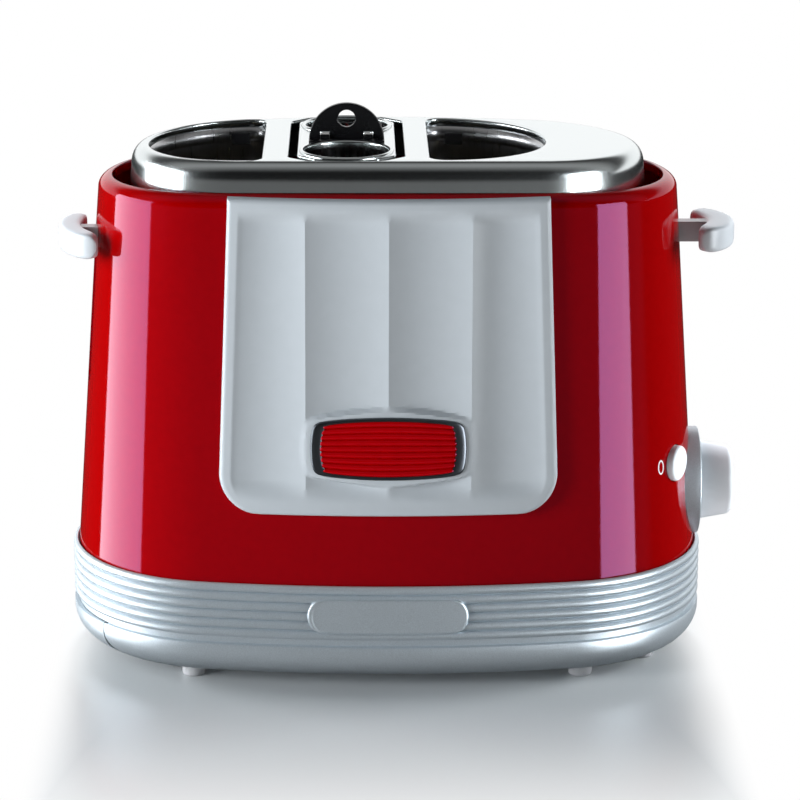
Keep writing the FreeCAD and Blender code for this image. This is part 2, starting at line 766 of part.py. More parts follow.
# Silver base ring: a ribbed band over a plain one that curves in to the floor
band = oval("band", "base_underside_z", "base_band_height", "0", "base", None, None, "base_curve")
core = oval("core", "band_top_z", "base_top_z - band_top_z", "rib_depth", "base")
ribs = []
for i in range(DRIVING["rib_count"]):
    ribs.append(oval(f"rib_{i}", f"base_top_z - rib_thickness - {i} * rib_pitch", "rib_thickness", "0",
                     "base"))
cavity = oval("cavity", "base_floor_z", "shell_bottom_z - base_floor_z", "base_wall", "base", None, None,
              "base_curve - base_floor")
lip = oval("lip", "shell_bottom_z", "base_lip_height + 1",
           "base_step - base_lip_gap", "base")
floor_hole = oval("floor_hole", "base_underside_z - 1", "base_floor + 2", "base_hole_inset", "base")
tray_mouth = box("tray_mouth", "0 - base_half_width - 1", "0 - tray_front_half_width - tray_gap",
                 "base_floor_z",
                 "base_half_width / 3", "2 * (tray_front_half_width + tray_gap)",
                 "band_top_z - base_floor_z")
label_block = bowed_block("label_block", "label_half_width", "label_half_height", "label_side_bow",
                          "label_top_bow",
                          "base_half_depth / 2", "base_half_depth", "label_z", False)
label_skin = oval("label_skin", "band_top_z - 5", "base_top_z - band_top_z", "0 - label_proud", "base")
label_back = oval("label_back", "band_top_z - 6", "base_top_z - band_top_z + 2", "2 * rib_depth", "base")
label = cut("label", common("label_slice", label_block, label_skin), label_back)
inlet_bore = cylinder("inlet_bore", "inlet_x", "base_half_depth / 2", "inlet_z", "inlet_radius",
                      "base_half_depth", "y")
screws = []
screw_holes = []
for i, (x, y) in enumerate([("screw_x", "screw_y"), ("0 - screw_x", "screw_y"), ("0 - screw_x",
                                                                                 "0 - screw_y"),
                            ("screw_x", "0 - screw_y")]):
    head = cylinder(f"screw_head_{i}", x, y, "base_underside_z - screw_head_height", "screw_head_radius",
                    "screw_head_height")
    shank = cylinder(f"screw_shank_{i}", x, y, "base_underside_z - screw_head_height / 2", "screw_radius",
                     "base_floor + base_plate_thickness + screw_head_height / 2")
    screws.append(fuse(f"screw_{i}", head, shank))
    screw_holes.append(cylinder(f"screw_hole_{i}", x, y, "base_underside_z - 1", "screw_radius + screw_gap",
                                "base_floor + base_plate_thickness + 2"))
holes = group("screw_holes", *screw_holes)
base_solid = fuse("base_solid", band, core, *ribs)
base_hollow = cut("base_hollow", base_solid, cavity, lip, floor_hole, tray_mouth, inlet_bore)
node("base_ring", cut("base_ring_cut", cut("base_label_seat", base_hollow, label), holes))
node("label_plate", label)
rails = [box(f"rail_{i}", "0 - rail_half_length", y, "plate_top_z - 0.5", "2 * rail_half_length",
             "rail_thickness",
             "rail_height + 0.5")
         for i, y in enumerate(["tray_half_width + tray_gap",
                                "0 - tray_half_width - tray_gap - rail_thickness"])]
floor_plate = oval("floor_plate", "base_floor_z", "base_plate_thickness", "base_plate_inset", "base")
node("base_plate", cut("base_plate_cut", fuse("base_plate_solid", floor_plate, *rails), holes))
node("base_screws", group("base_screw_set", *screws))

# Feet: four at the corners and two more under the knob end
foot_spots = [(f"{a} * foot_x", f"{b} * foot_y") for a in (-1, 1) for b in (-1, 1)]
foot_spots += [("end_foot_x", f"{b} * end_foot_y") for b in (-1, 1)]
node("feet", group("foot_set", *[cone(f"foot_{i}", x, y, 0, "foot_bottom_radius", "foot_top_radius",
                                      "base_underside_z") for i, (x, y) in enumerate(foot_spots)]))

# Mains inlet bush through the back of the base
bush_barrel = cylinder("bush_barrel", "inlet_x", "base_half_depth - base_wall - inlet_sag - 3", "inlet_z",
                       "inlet_radius", "base_wall + inlet_sag + 3 + label_proud", "y")
bush_flange = cylinder("bush_flange", "inlet_x", "base_half_depth / 2", "inlet_z", "inlet_flange",
                       "base_half_depth / 2 + label_proud", "y")
flange_skin = cut("flange_skin", bush_flange, band)
bush_hole = cylinder("bush_hole", "inlet_x", "base_half_depth / 2", "inlet_z", "inlet_bore",
                     "base_half_depth", "y")
node("cord_inlet", cut("cord_inlet_cut", fuse("inlet_solid", bush_barrel, flange_skin), bush_hole))

# Lid with its two bun slots, the basket's mouth and the flange under the rim
lid_solid = oval("lid_solid", "lid_bottom_z", "lid_top_z - lid_bottom_z", "0", "lid", "lid_taper",
                 "lid_round")
lid_crown = cylinder("lid_crown", 0, "0 - base_half_depth", "lid_top_z - crown_radius", "crown_radius",
                     "2 * base_half_depth", "y")
flange_in = "((lid_bottom_z - shell_bottom_z) * taper_slope + shell_wall + flange_inset)"
flange = oval("flange", "lid_bottom_z", "flange_thickness", flange_in, "shell")
lid_space = oval("lid_space", "lid_bottom_z - 1", "lid_under_z - lid_bottom_z + 1", "lid_wall", "lid",
                 "lid_taper")
mouth = octagon("mouth", "lid_under_z - 1", "lid_top + 2", "mouth_half_width", "mouth_half_depth",
                "mouth_corner")
slots = [dee(f"slot_cut_{word}", side, "lid_under_z - 1", "lid_top + 2", "0") for word, side in
         (("left", -1), ("right", 1))]
lid_outside = fuse("lid_outside", common("lid_crowned", lid_solid, lid_crown), flange)
node("lid", cut("lid_cut", lid_outside, lid_space, mouth, *slots))

# Steel chutes under the bun slots, with a black clip inside the back of each
clips = []
for word, side in (("left", -1), ("right", 1)):
    outer = dee(f"chute_out_{word}", side, "lid_under_z - chute_depth", "chute_depth", "0 - chute_wall")
    inner = dee(f"chute_in_{word}", side, "lid_under_z - chute_depth - 1", "chute_depth + 2", "0")
    node(f"bun_chute_{word}", cut(f"chute_{word}", outer, inner))
    blank = box(f"clip_blank_{word}", f"chamber_{word}_x + {side} * neck_offset - clip_width / 2",
                "well_y + slot_radius - clip_depth - neck_offset * neck_offset / (2 * slot_radius)",
                "lid_under_z - clip_drop - clip_height", "clip_width", "clip_depth + 2", "clip_height")
    clips.append(common(f"clip_{word}", blank, inner))
node("slot_clips", group("clip_set", *clips))


def stadium(name, radius, z, height):
    """A block with round ends about the two bun wells' middles."""
    ends = [cylinder(f"{name}_{word}", f"chamber_{word}_x", "well_y", z, radius,
                     height) for word in ("left", "right")]
    middle = box(f"{name}_middle", "chamber_left_x", f"well_y - ({radius})", z,
                 "chamber_right_x - chamber_left_x",
                 f"2 * ({radius})", height)
    return fuse(name, middle, *ends)


# Heat shield round the wells, open below for the tray and slotted behind for the carriage
necks = {"left": "(chamber_left_x - neck_offset)", "middle": "basket_x",
         "right": "(chamber_right_x + neck_offset)"}
shield_out = stadium("shield_out", "chamber_radius + chamber_wall", "base_floor_z",
                     "chamber_top_z - base_floor_z")
shield_in = stadium("shield_in", "chamber_radius", "base_floor_z - 1", "chamber_top_z - base_floor_z + 2")
notch = box("notch", "0 - base_half_width", "0 - chamber_notch_half_width", "base_floor_z - 1",
            "2 * base_half_width", "2 * chamber_notch_half_width", "chamber_notch_z - base_floor_z + 1")
neck_slots = [box(f"neck_slot_{word}", f"{x} - neck_width / 2 - neck_gap", "well_y + chamber_radius / 2",
                  "carriage_z - carriage_travel - neck_gap", "neck_width + 2 * neck_gap", "chamber_radius",
                  "carriage_travel + carriage_thickness + 2 * neck_gap") for word, x in necks.items()]
node("heat_shield", cut("shield_cut", shield_out, shield_in, notch, *neck_slots))

# Flat heaters beside the basket and curved ones round the outer halves of the wells
for word, side in (("left", -1), ("right", 1)):
    node(f"heater_board_inner_{word}",
         box(f"board_{word}", f"heater_{word}_x - heater_thickness / 2", "well_y - chamber_radius",
             "heater_bottom_z",
             "heater_thickness", "2 * chamber_radius", "heater_height"))
    ribbon_x = f"heater_{word}_x + {side} * heater_thickness / 2" + (" - heater_ribbon" if side < 0 else "")
    strips = [box(f"ribbon_{word}_{i}", ribbon_x, "well_y - mouth_half_depth + ribbon_inset",
                  f"ribbon_low_z + {i} * heater_ribbon_pitch", "heater_ribbon",
                  "2 * (mouth_half_depth - ribbon_inset)",
                  "heater_ribbon_height") for i in range(DRIVING["heater_ribbon_count"])]
    strips.append(box(f"ribbon_{word}_end", ribbon_x, "well_y - mouth_half_depth + ribbon_inset",
                      "ribbon_low_z",
                      "heater_ribbon", "heater_ribbon_height",
                      "ribbon_span + heater_ribbon_height"))
    node(f"heater_ribbon_inner_{word}", fuse(f"ribbon_{word}", *strips))
    keep = box(f"curve_keep_{word}", f"chamber_{word}_x" + (" - chamber_radius" if side < 0 else ""),
               "well_y - arc_half", "heater_bottom_z", "chamber_radius", "2 * arc_half",
               "heater_height")
    outer = cylinder(f"curve_out_{word}", f"chamber_{word}_x", "well_y", "heater_bottom_z", "curve_radius",
                     "heater_height")
    inner = cylinder(f"curve_in_{word}", f"chamber_{word}_x", "well_y", "heater_bottom_z",
                     "curve_radius - heater_thickness", "heater_height")
    node(f"heater_board_outer_{word}", common(f"curve_{word}", cut(f"curve_tube_{word}", outer, inner),
                                              keep))
    bands = [cylinder(f"arc_{word}_{i}", f"chamber_{word}_x", "well_y",
                      f"ribbon_low_z + {i} * heater_ribbon_pitch", "ribbon_radius", "heater_ribbon_height")
             for i in range(DRIVING["heater_ribbon_count"])]
    band_core = cylinder(f"arc_core_{word}", f"chamber_{word}_x", "well_y", "heater_bottom_z",
                         "ribbon_radius - heater_ribbon", "heater_height")
    rings = cut(f"arc_rings_{word}", fuse(f"arc_bands_{word}", *bands), band_core)
    rod_blank = cylinder(f"arc_rod_{word}", f"chamber_{word}_x", "well_y", "ribbon_low_z",
                         "ribbon_radius - ribbon_link_inset", "ribbon_span")
    rod_core = cylinder(f"arc_rod_core_{word}", f"chamber_{word}_x", "well_y", "heater_bottom_z",
                        "ribbon_radius - heater_ribbon + ribbon_link_inset", "heater_height")
    link = box(f"arc_link_{word}", f"chamber_{word}_x - chamber_radius", "well_y - arc_half",
               "ribbon_low_z", "2 * chamber_radius", "3 * heater_ribbon_height",
               "ribbon_span")
    links = common(f"arc_links_{word}", cut(f"arc_rod_ring_{word}", rod_blank, rod_core), link)
    ladder = fuse(f"arc_ladder_{word}", rings, links)
    node(f"heater_ribbon_outer_{word}", common(f"arc_keep_{word}", ladder, keep))

# Wire guards that keep a bun off the heaters
for word, side in (("left", -1), ("right", 1)):
    wires = []
    for i in range(DRIVING["guard_wire_count"]):
        angle = f"(guard_first_angle + {i} * guard_spread / (guard_wire_count - 1))"
        wires.append(cylinder(f"wire_{word}_{i}",
                              f"chamber_{word}_x - {side} * guard_radius * cos({angle})",
                              f"well_y + guard_radius * sin({angle})", "guard_low_z", "guard_wire_radius",
                              "lid_under_z - chute_depth - guard_low_z"))
    straight_x = f"(slot_{word}_edge - {side} * (guard_gap + guard_wire_radius))"
    for i in range(DRIVING["guard_stay_count"]):
        wires.append(cylinder(f"stay_{word}_{i}", straight_x,
                              f"well_y + ({i} - (guard_stay_count - 1) / 2) * slot_radius / 2",
                              "guard_low_z", "guard_wire_radius",
                              "lid_under_z - chute_depth - guard_low_z"))
    hoop_out = cylinder(f"hoop_out_{word}", f"chamber_{word}_x", "well_y", "guard_low_z",
                        "guard_radius + guard_hoop_half", "2 * guard_wire_radius")
    hoop_in = cylinder(f"hoop_in_{word}", f"chamber_{word}_x", "well_y", "guard_low_z - 1",
                       "guard_radius - guard_hoop_half", "2 * guard_wire_radius + 2")
    side_x = straight_x + (" - 2 * guard_radius" if side < 0 else "")
    half = box(f"hoop_half_{word}", side_x, "well_y - 2 * guard_radius", "guard_low_z - 1",
               "2 * guard_radius", "4 * guard_radius", "2 * guard_wire_radius + 2")
    hoop = common(f"hoop_{word}", cut(f"hoop_ring_{word}", hoop_out, hoop_in), half)
    sill = box(f"sill_{word}", f"{straight_x} - guard_hoop_half", "well_y - guard_radius", "guard_low_z",
               "2 * guard_hoop_half", "2 * guard_radius", "2 * guard_wire_radius")
    node(f"bun_guard_{word}", fuse(f"guard_{word}", hoop, sill, *wires))

# Carriage plate: a beam behind the shield, an arm round each end and a neck under each well
arms = []
for word, side, low_y in (("left", -1, "lever_left_y - 2 * stem_width"), ("right", 1,
                                                                          "0 - upright_width / 2")):
    ring = cut(f"arm_ring_{word}",
               cylinder(f"arm_out_{word}", f"chamber_{word}_x", "well_y", "carriage_z", "ring_out",
                        "carriage_thickness"),
               cylinder(f"arm_in_{word}", f"chamber_{word}_x", "well_y", "carriage_z - 1", "ring_in",
                        "carriage_thickness + 2"))
    corner_x = f"chamber_{word}_x" + (" - ring_out" if side < 0 else "")
    keep = box(f"arm_keep_{word}", corner_x, low_y, "carriage_z", "ring_out",
               f"ring_out + well_y - ({low_y})",
               "carriage_thickness")
    arms.append(common(f"arm_{word}", ring, keep))
beam = box("beam", "chamber_left_x", "beam_y", "carriage_z", "chamber_right_x - chamber_left_x",
           "carriage_ring_width",
           "carriage_thickness")
reach = box("reach", "chamber_right_x + ring_in", "0 - upright_width / 2", "carriage_z",
            "upright_right_x + upright_thickness - chamber_right_x - ring_in", "upright_width",
            "carriage_thickness")
tongues = [box(f"tongue_{word}", f"{x} - neck_width / 2", "well_y - slot_radius / 2", "carriage_z",
               "neck_width",
               "beam_y - well_y + slot_radius / 2 + 1", "carriage_thickness") for word, x in necks.items()]
rods = {"left": "rod_left_x", "right": "rod_right_x"}
rod_holes = [cylinder(f"rod_hole_{word}", x, "rod_y", "carriage_z - 1", "rod_radius + rod_gap",
                      "bush_height + carriage_thickness + 2") for word, x in rods.items()]
rod_hole_set = group("rod_holes", *rod_holes)
node("carriage_plate", cut("carriage_cut", fuse("carriage_solid", beam, reach, *arms, *tongues),
                           rod_hole_set))
node("carriage_bushes", group("bush_set", *[
    cut(f"bush_{word}", cylinder(f"bush_bar_{word}", x, "rod_y", "carriage_top_z", "bush_radius",
                                 "bush_height"), hole)
    for (word, x), hole in zip(rods.items(), rod_holes)]))
for word, x in rods.items():
    node(f"guide_rod_{word}", cylinder(f"rod_{word}", x, "rod_y", "base_floor_z", "rod_radius",
                                       "rod_top_z - base_floor_z"))
springs = []
for word, x in rods.items():
    outer = cylinder(f"spring_out_{word}", x, "rod_y", "base_floor_z + spring_end_gap",
                     "rod_radius + spring_gap + spring_wall",
                     "carriage_z - base_floor_z - 2 * spring_end_gap")
    inner = cylinder(f"spring_in_{word}", x, "rod_y", "base_floor_z", "rod_radius + spring_gap",
                     "carriage_z - base_floor_z")
    springs.append(cut(f"spring_{word}", outer, inner))
node("return_springs", group("spring_set", *springs))

# Rests for the buns and for the basket
for word, side in (("left", -1), ("right", 1)):
    disc = cylinder(f"rest_disc_{word}", f"chamber_{word}_x", "well_y", "carriage_top_z", "rest_radius",
                    "rest_thickness")
    edge_x = f"chamber_{word}_x + {side} * rest_edge" + (" - rest_radius" if side < 0 else "")
    half = box(f"rest_half_{word}", edge_x, "well_y - rest_radius", "carriage_top_z", "rest_radius",
               "2 * rest_radius",
               "rest_thickness")
    node(f"bun_rest_{word}", common(f"rest_{word}", disc, half))
node("basket_rest", box("basket_rest_plate", "basket_x - mouth_half_width + basket_rest_inset",
                        "basket_y - rest_half_depth",
                        "carriage_top_z", "2 * (mouth_half_width - basket_rest_inset)",
                        "2 * rest_half_depth", "rest_thickness"))

# Lever arms: an upright from the carriage and a stem out through the shell
stem_low = "(lever_z - stem_height / 2)"
stem_left = box("stem_left", "0 - lever_left_reach + stem_short", "lever_left_y - stem_width / 2", stem_low,
                "lever_left_reach - stem_short - upright_left_x + upright_thickness", "stem_width",
                "stem_height")
post_left = box("post_left", "0 - upright_left_x", "lever_left_y - upright_width / 2", "carriage_top_z",
                "upright_thickness", "upright_width", f"{stem_low} + stem_height - carriage_top_z")
node("lever_arm_left", fuse("arm_post_left", stem_left, post_left))
stem_right = box("stem_right", "upright_right_x", "0 - stem_width / 2", stem_low,
                 "lever_right_reach - stem_short - upright_right_x", "stem_width", "stem_height")
post_right = box("post_right", "upright_right_x", "0 - upright_width / 2", "carriage_top_z",
                 "upright_thickness", "upright_width", f"{stem_low} + stem_height - carriage_top_z")
node("lever_arm_right", fuse("arm_post_right", stem_right, post_right))


def paddle(name, side, front, back, hollow, reach, stem):
    """A finger lever: round outside, hollow towards the shell, on the end of its stem."""
    body = new_body(name + "_body")
    middle = f"({front[0]} + {back[0]}) / 2"
    points = [(f"{side} * {x}", y) for x, y in (front, back)]
    points = points if side > 0 else points[::-1]
    sketch = outline(body, name + "_outline", "XY_Plane", "lever_z - lever_height / 2", points,
                     [hollow, f"{middle} - {reach}"])
    last = pad(body, sketch, "lever_height")
    low_z, high_z = number("lever_z - lever_height / 2"), number("lever_z + lever_height / 2")
    outermost = max(abs(edge.BoundBox.Center.x) for edge in sketch_edges(sketch))
    fillet(body, last, "lever_round",
           lambda edge: (at_height(low_z)(edge) or at_height(high_z)(edge))
           and abs(abs(edge.BoundBox.Center.x) - outermost) < 0.01, "Edge")
    return node(name, cut(name + "_cut", body, stem))


def sketch_edges(sketch):
    """The edges that a sketch draws."""
    doc.recompute()
    return sketch.Shape.Edges


paddle("lever_right", 1, ("right_tip", "0 - lever_half_span"), ("right_tip", "lever_half_span"),
       "lever_hollow", "lever_right_reach", stem_right)
paddle("lever_left", -1, ("left_front_x", "left_front_y"), ("left_back_x", "left_back_y"), "left_hollow",
       "lever_left_reach", stem_left)

# Latch: a steel plate under the carriage that an electromagnet holds down
node("latch_plate", box("latch", "magnet_x", "0 - magnet_width / 2", "carriage_z - latch_thickness",
                        "latch_length",
                        "magnet_width", "latch_thickness"))
node("magnet_bracket", box("bracket_magnet", "magnet_x", "0 - magnet_width / 2", "plate_top_z",
                           "magnet_width",
                           "magnet_width", "coil_low_z - plate_top_z"))
node("electromagnet", fuse("magnet", cylinder("coil", "magnet_x + magnet_width / 2", 0, "coil_low_z",
                                              "magnet_width / 2 - magnet_gap", "magnet_coil_height"),
                           cylinder("core_tip", "magnet_x + magnet_width / 2", 0, "coil_low_z",
                                    "magnet_core",
                                    "magnet_coil_height + 2")))

# Control board with the timer, whose shaft carries the knob
node("board_bracket", box("bracket_board", "board_x - bracket_thickness", "0 - bracket_width / 2",
                          "base_floor_z",
                          "bracket_thickness", "bracket_width", "dial_z - base_floor_z"))
node("control_board", box("board", "board_x", "0 - board_half_width", "dial_z - board_height / 2",
                          "board_thickness",
                          "2 * board_half_width", "board_height"))
timer_bar = cylinder("timer_bar", "timer_x", 0, "dial_z", "timer_radius", "timer_length", "x")
timer_bore = cylinder("timer_bore", "shaft_root_x - shaft_gap", 0, "dial_z", "shaft_radius + shaft_gap",
                      "timer_length", "x")
node("timer", cut("timer_cut", timer_bar, timer_bore))
shaft = cylinder("shaft", "shaft_root_x", 0, "dial_z", "shaft_radius",
                 "dial_face_x + knob_gap + knob_socket - shaft_root_x", "x")
node("timer_shaft", shaft)
knob_bar = cone("knob_bar", "dial_face_x + knob_gap", 0, "dial_z", "knob_root_radius", "knob_tip_radius",
                "knob_length", "x")
node("control_knob", cut("knob_cut", knob_bar, shaft))
dial_bar = cylinder("dial_bar", "dial_face_x - dial_skirt", 0, "dial_z", "dial_radius", "dial_skirt", "x")
node("dial_disc", cut("dial_cut", dial_bar, shell_solid, shaft_hole))

# Stop button, and the switch behind it on its post
button_head = radial_bar("button_head", "0 - button_depth", "button_depth + button_proud", "button_radius")
button_stem = radial_bar("button_stem", "0 - button_depth - button_stem_length", "button_stem_length + 1",
                         "button_stem_radius")
node("stop_button", fuse("button", button_head, button_stem))
switch_can = radial_bar("switch_can", "0 - switch_start", "switch_depth", "switch_size / 2")
switch_post = cylinder("switch_post", "end_x + post_reach * cos(button_angle)",
                       "0 - post_reach * sin(button_angle)",
                       "base_floor_z", "post_radius", "button_z - base_floor_z")
node("stop_switch", fuse("switch", switch_can, switch_post))

# Crumb tray with its curved front, which is a length of the base's lower band
tray_oval = oval("tray_oval", "tray_bottom_z", "tray_height", "base_wall", "base")
tray_oval_inner = oval("tray_oval_inner", "tray_bottom_z + tray_wall", "tray_height",
                       "base_wall + tray_wall", "base")
tray_block = box("tray_block", "0 - base_half_width", "0 - tray_half_width", "tray_bottom_z",
                 "base_half_width + tray_right_x", "2 * tray_half_width", "tray_height")
tray_hollow = box("tray_hollow", "0 - base_half_width", "0 - tray_half_width + tray_wall",
                  "tray_bottom_z + tray_wall",
                  "base_half_width + tray_right_x - tray_wall", "2 * (tray_half_width - tray_wall)",
                  "tray_height")
node("crumb_tray", cut("tray_cut", common("tray_outside", tray_block, tray_oval),
                       common("tray_inside", tray_hollow, tray_oval_inner)))
front_block = box("front_block", "0 - base_half_width", "0 - tray_front_half_width",
                  "base_floor_z + tray_gap",
                  "base_half_width / 3 - 1", "2 * tray_front_half_width",
                  "band_top_z - base_floor_z - 2 * tray_gap")
front_band = oval("front_band", "base_floor_z", "base_band_height - base_floor", "base_wall", "base")
node("tray_front", cut("tray_front_cut", common("tray_front_blank", front_block, band), front_band))

# Sausage basket: plate, two slotted tubes and the folding handle
tube_spots = {"front": "(basket_y - tube_spacing / 2)", "back": "(basket_y + tube_spacing / 2)"}
plate = octagon("basket_blank", "tube_top_z", "basket_plate_thickness", "basket_half_width",
                "basket_half_depth",
                "basket_corner")
mouths = group("tube_mouths", *[cylinder(f"tube_mouth_{word}", "basket_x", y, "tube_top_z - 1",
                                         "tube_radius",
                                         "basket_plate_thickness + 2") for word, y in tube_spots.items()])
node("basket_plate", cut("basket_plate_cut", plate, mouths))
for word, y in tube_spots.items():
    sleeve = cylinder(f"tube_out_{word}", "basket_x", y, "tube_bottom_z", "tube_radius + tube_wall",
                      "tube_top_z - tube_bottom_z")
    bore = cylinder(f"tube_in_{word}", "basket_x", y, "tube_bottom_z + tube_floor", "tube_radius",
                    "tube_top_z - tube_bottom_z")
    windows = []
    for i in range(DRIVING["tube_slot_count"] // 2):
        window = box(f"window_{word}_{i}", 0, 0, 0, "2 * tube_radius + 4", "tube_slot_width",
                     "tube_top_z - tube_bottom_z - 2 * tube_slot_margin")
        window.Placement.Rotation = Rotation(Vector(0, 0, 1), 30 + 360 * i / DRIVING["tube_slot_count"])
        turn = f"(30 + 360 * {i} / tube_slot_count)"
        along, across = "(tube_radius + 2)", "(tube_slot_width / 2)"
        bind_place(window, f"basket_x - {along} * cos({turn}) + {across} * sin({turn})",
                   f"{y} - {along} * sin({turn}) - {across} * cos({turn})",
                   "tube_bottom_z + tube_slot_margin")
        windows.append(window)
    node(f"sausage_tube_{word}", cut(f"tube_{word}", sleeve, bore, *windows))

# Folding handle: a half disc on a pin, held by two lugs of a bar behind the front hole
bar_low_y = "hinge_y - handle_thickness / 2 - handle_gap - handle_base_depth"
seat = box("handle_seat", "basket_x - handle_width / 2", bar_low_y, "basket_top_z", "handle_width",
           "handle_base_depth", "handle_base_height")
clear = cylinder("handle_clear", "basket_x", tube_spots["front"], "basket_top_z - 1",
                 "tube_radius + tube_rim",
                 "2 * hinge_rise")
pin = cylinder("pin", "basket_x - handle_width / 2 + 1", "hinge_y", "hinge_z", "hinge_pin_radius",
               "handle_width - 2",
               "x")
lugs = [box(f"lug_{word}", f"basket_x + {side} * lug_x - lug_width / 2", "hinge_y - handle_thickness",
            "basket_top_z", "lug_width", "handle_thickness * 1.5", "hinge_rise + handle_thickness / 2")
        for word, side in (("left", -1), ("right", 1))]
node("handle_base", cut("handle_base_cut", cut("seat_cut", fuse("handle_base_solid", seat, *lugs), clear),
                        pin))
node("handle_pin", pin)
disc = cylinder("flap_disc", "basket_x", "hinge_y - handle_thickness / 2", "hinge_z - handle_thickness / 2",
                "handle_radius", "handle_thickness", "y")
above = box("flap_above", "basket_x - handle_radius", "hinge_y - handle_thickness / 2", "hinge_z",
            "2 * handle_radius", "handle_thickness", "handle_radius")
barrel = cylinder("flap_barrel", "basket_x - handle_width / 2", "hinge_y", "hinge_z",
                  "handle_thickness / 2",
                  "handle_width", "x")
flap_bore = cylinder("flap_bore", "basket_x - handle_width", "hinge_y", "hinge_z",
                     "hinge_pin_radius + hinge_gap",
                     "2 * handle_width", "x")
finger_hole = cylinder("finger_hole", "basket_x", "hinge_y - handle_thickness",
                       "hinge_z + handle_hole_rise",
                       "handle_hole_radius", "2 * handle_thickness", "y")
reliefs = [box(f"relief_{word}", f"basket_x + {side} * lug_x - lug_width / 2 - handle_gap",
               "hinge_y - handle_thickness", "basket_top_z", "lug_width + 2 * handle_gap",
               "2 * handle_thickness",
               "hinge_rise + handle_thickness / 2 + 3 * handle_gap") for word, side in (("left", -1),
                                                                                        ("right", 1))]
node("handle_flap", cut("flap_cut", fuse("flap_solid", common("flap_plate", disc, above), barrel),
                        flap_bore,
                        finger_hole, *reliefs))

# Build everything, and stop at anything that failed
doc.recompute()
for item in doc.Objects:
    if "Invalid" in item.State or "Error" in item.State:
        raise RuntimeError(f"{item.Name} did not build: {item.State}")
for item in nodes:
    if item.Shape.isNull() or not item.Shape.isValid() or not item.Shape.Solids:
        raise RuntimeError(f"{item.Label} has no sound solid")

os.makedirs("parts", exist_ok=True)
for item in nodes:
    item.Shape.exportStep(f"parts/{item.Label}.step")
    bounds = item.Shape.BoundBox
    print(f"{item.Label}: {len(item.Shape.Solids)} solid(s), x {bounds.XMin:.1f} {bounds.XMax:.1f},"
          f" y {bounds.YMin:.1f} {bounds.YMax:.1f}, z {bounds.ZMin:.1f} {bounds.ZMax:.1f}")
print(len(nodes), "sub-parts")
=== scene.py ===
# %% [markdown]
# # A hot dog toaster, surface by surface
# The toaster is a red enamelled oval shell on a ribbed silver base, with a white fluted panel in front and a
# brushed steel lid on top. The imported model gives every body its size, its place and its joints. This lesson
# dresses that model: each visible piece is worked out again as a smooth surface, and each one gets a finish.
# The frame comes first, so that nothing later has to be fitted by eye.

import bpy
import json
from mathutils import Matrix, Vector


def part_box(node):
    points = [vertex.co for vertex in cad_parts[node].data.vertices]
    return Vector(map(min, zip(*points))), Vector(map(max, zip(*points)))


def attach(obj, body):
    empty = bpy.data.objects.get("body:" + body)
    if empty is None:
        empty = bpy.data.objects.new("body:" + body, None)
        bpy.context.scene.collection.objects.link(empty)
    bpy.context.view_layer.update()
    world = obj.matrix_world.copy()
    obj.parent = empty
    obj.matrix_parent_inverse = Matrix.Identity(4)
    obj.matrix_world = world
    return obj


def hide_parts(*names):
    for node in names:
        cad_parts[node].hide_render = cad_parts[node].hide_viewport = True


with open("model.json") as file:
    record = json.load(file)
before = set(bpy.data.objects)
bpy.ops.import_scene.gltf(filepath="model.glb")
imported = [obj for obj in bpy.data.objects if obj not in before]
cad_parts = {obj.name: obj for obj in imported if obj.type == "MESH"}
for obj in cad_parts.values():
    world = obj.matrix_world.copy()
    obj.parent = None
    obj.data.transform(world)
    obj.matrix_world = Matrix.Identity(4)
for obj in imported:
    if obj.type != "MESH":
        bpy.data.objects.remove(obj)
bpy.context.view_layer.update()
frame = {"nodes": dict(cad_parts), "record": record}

# %% Tools of the lesson
import json
import math

import bmesh
import bpy
import numpy as np
from mathutils import Matrix, Vector
from mathutils.geometry import delaunay_2d_cdt

mm = 0.001

# %% [markdown]
# ## Sizes
# The shell, the base and the lid are ovals of one kind: two end arcs and two long arcs that run into each
# other. Three numbers describe such an oval, and the frame's boxes give the first two. Every other size of
# the shell follows from its lean and its wall, so that a piece that touches it can ask for the skin at any
# height.

# %% Sizes read from the frame
shell_low, shell_high = (np.array(corner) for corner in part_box("outer_shell"))
base_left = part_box("base_ring")[0][0]
middle_x = (shell_low[0] + shell_high[0]) / 2
shell_half_width = (shell_high[0] - shell_low[0]) / 2
shell_half_depth = (shell_high[1] - shell_low[1]) / 2
shell_bow = 6.0 * mm
base_step = 2.5 * mm
shell_bottom, shell_top = shell_low[2], 218.6 * mm
lean_degrees = 4.1
lean = math.tan(math.radians(lean_degrees))
rim_inset = (shell_top - shell_bottom) * lean
crown_radius = 3.2
lid_top = 231.4 * mm
print(f"shell {2000 * shell_half_width:.1f} by {2000 * shell_half_depth:.1f} mm")
print(f"middle of its width at x {1000 * middle_x:.1f} mm")

# %% The oval of two end arcs and two long arcs


def oval(half_width, half_depth, bow):
    """The sizes of an oval. End arcs of the radius half depth less bow stand at the reach from the middle. A
    long arc touches both, so its radius is
    (reach ** 2 + half_depth ** 2 - end ** 2) / (2 * (half_depth - end)), where end is their radius."""
    end_radius = half_depth - bow
    reach = half_width - end_radius
    long_radius = (reach ** 2 + half_depth ** 2 - end_radius ** 2) / (2 * (half_depth - end_radius))
    return {"reach": reach, "end": end_radius, "long": long_radius, "back": long_radius - half_depth,
            "joint": math.atan2(long_radius - half_depth, reach)}


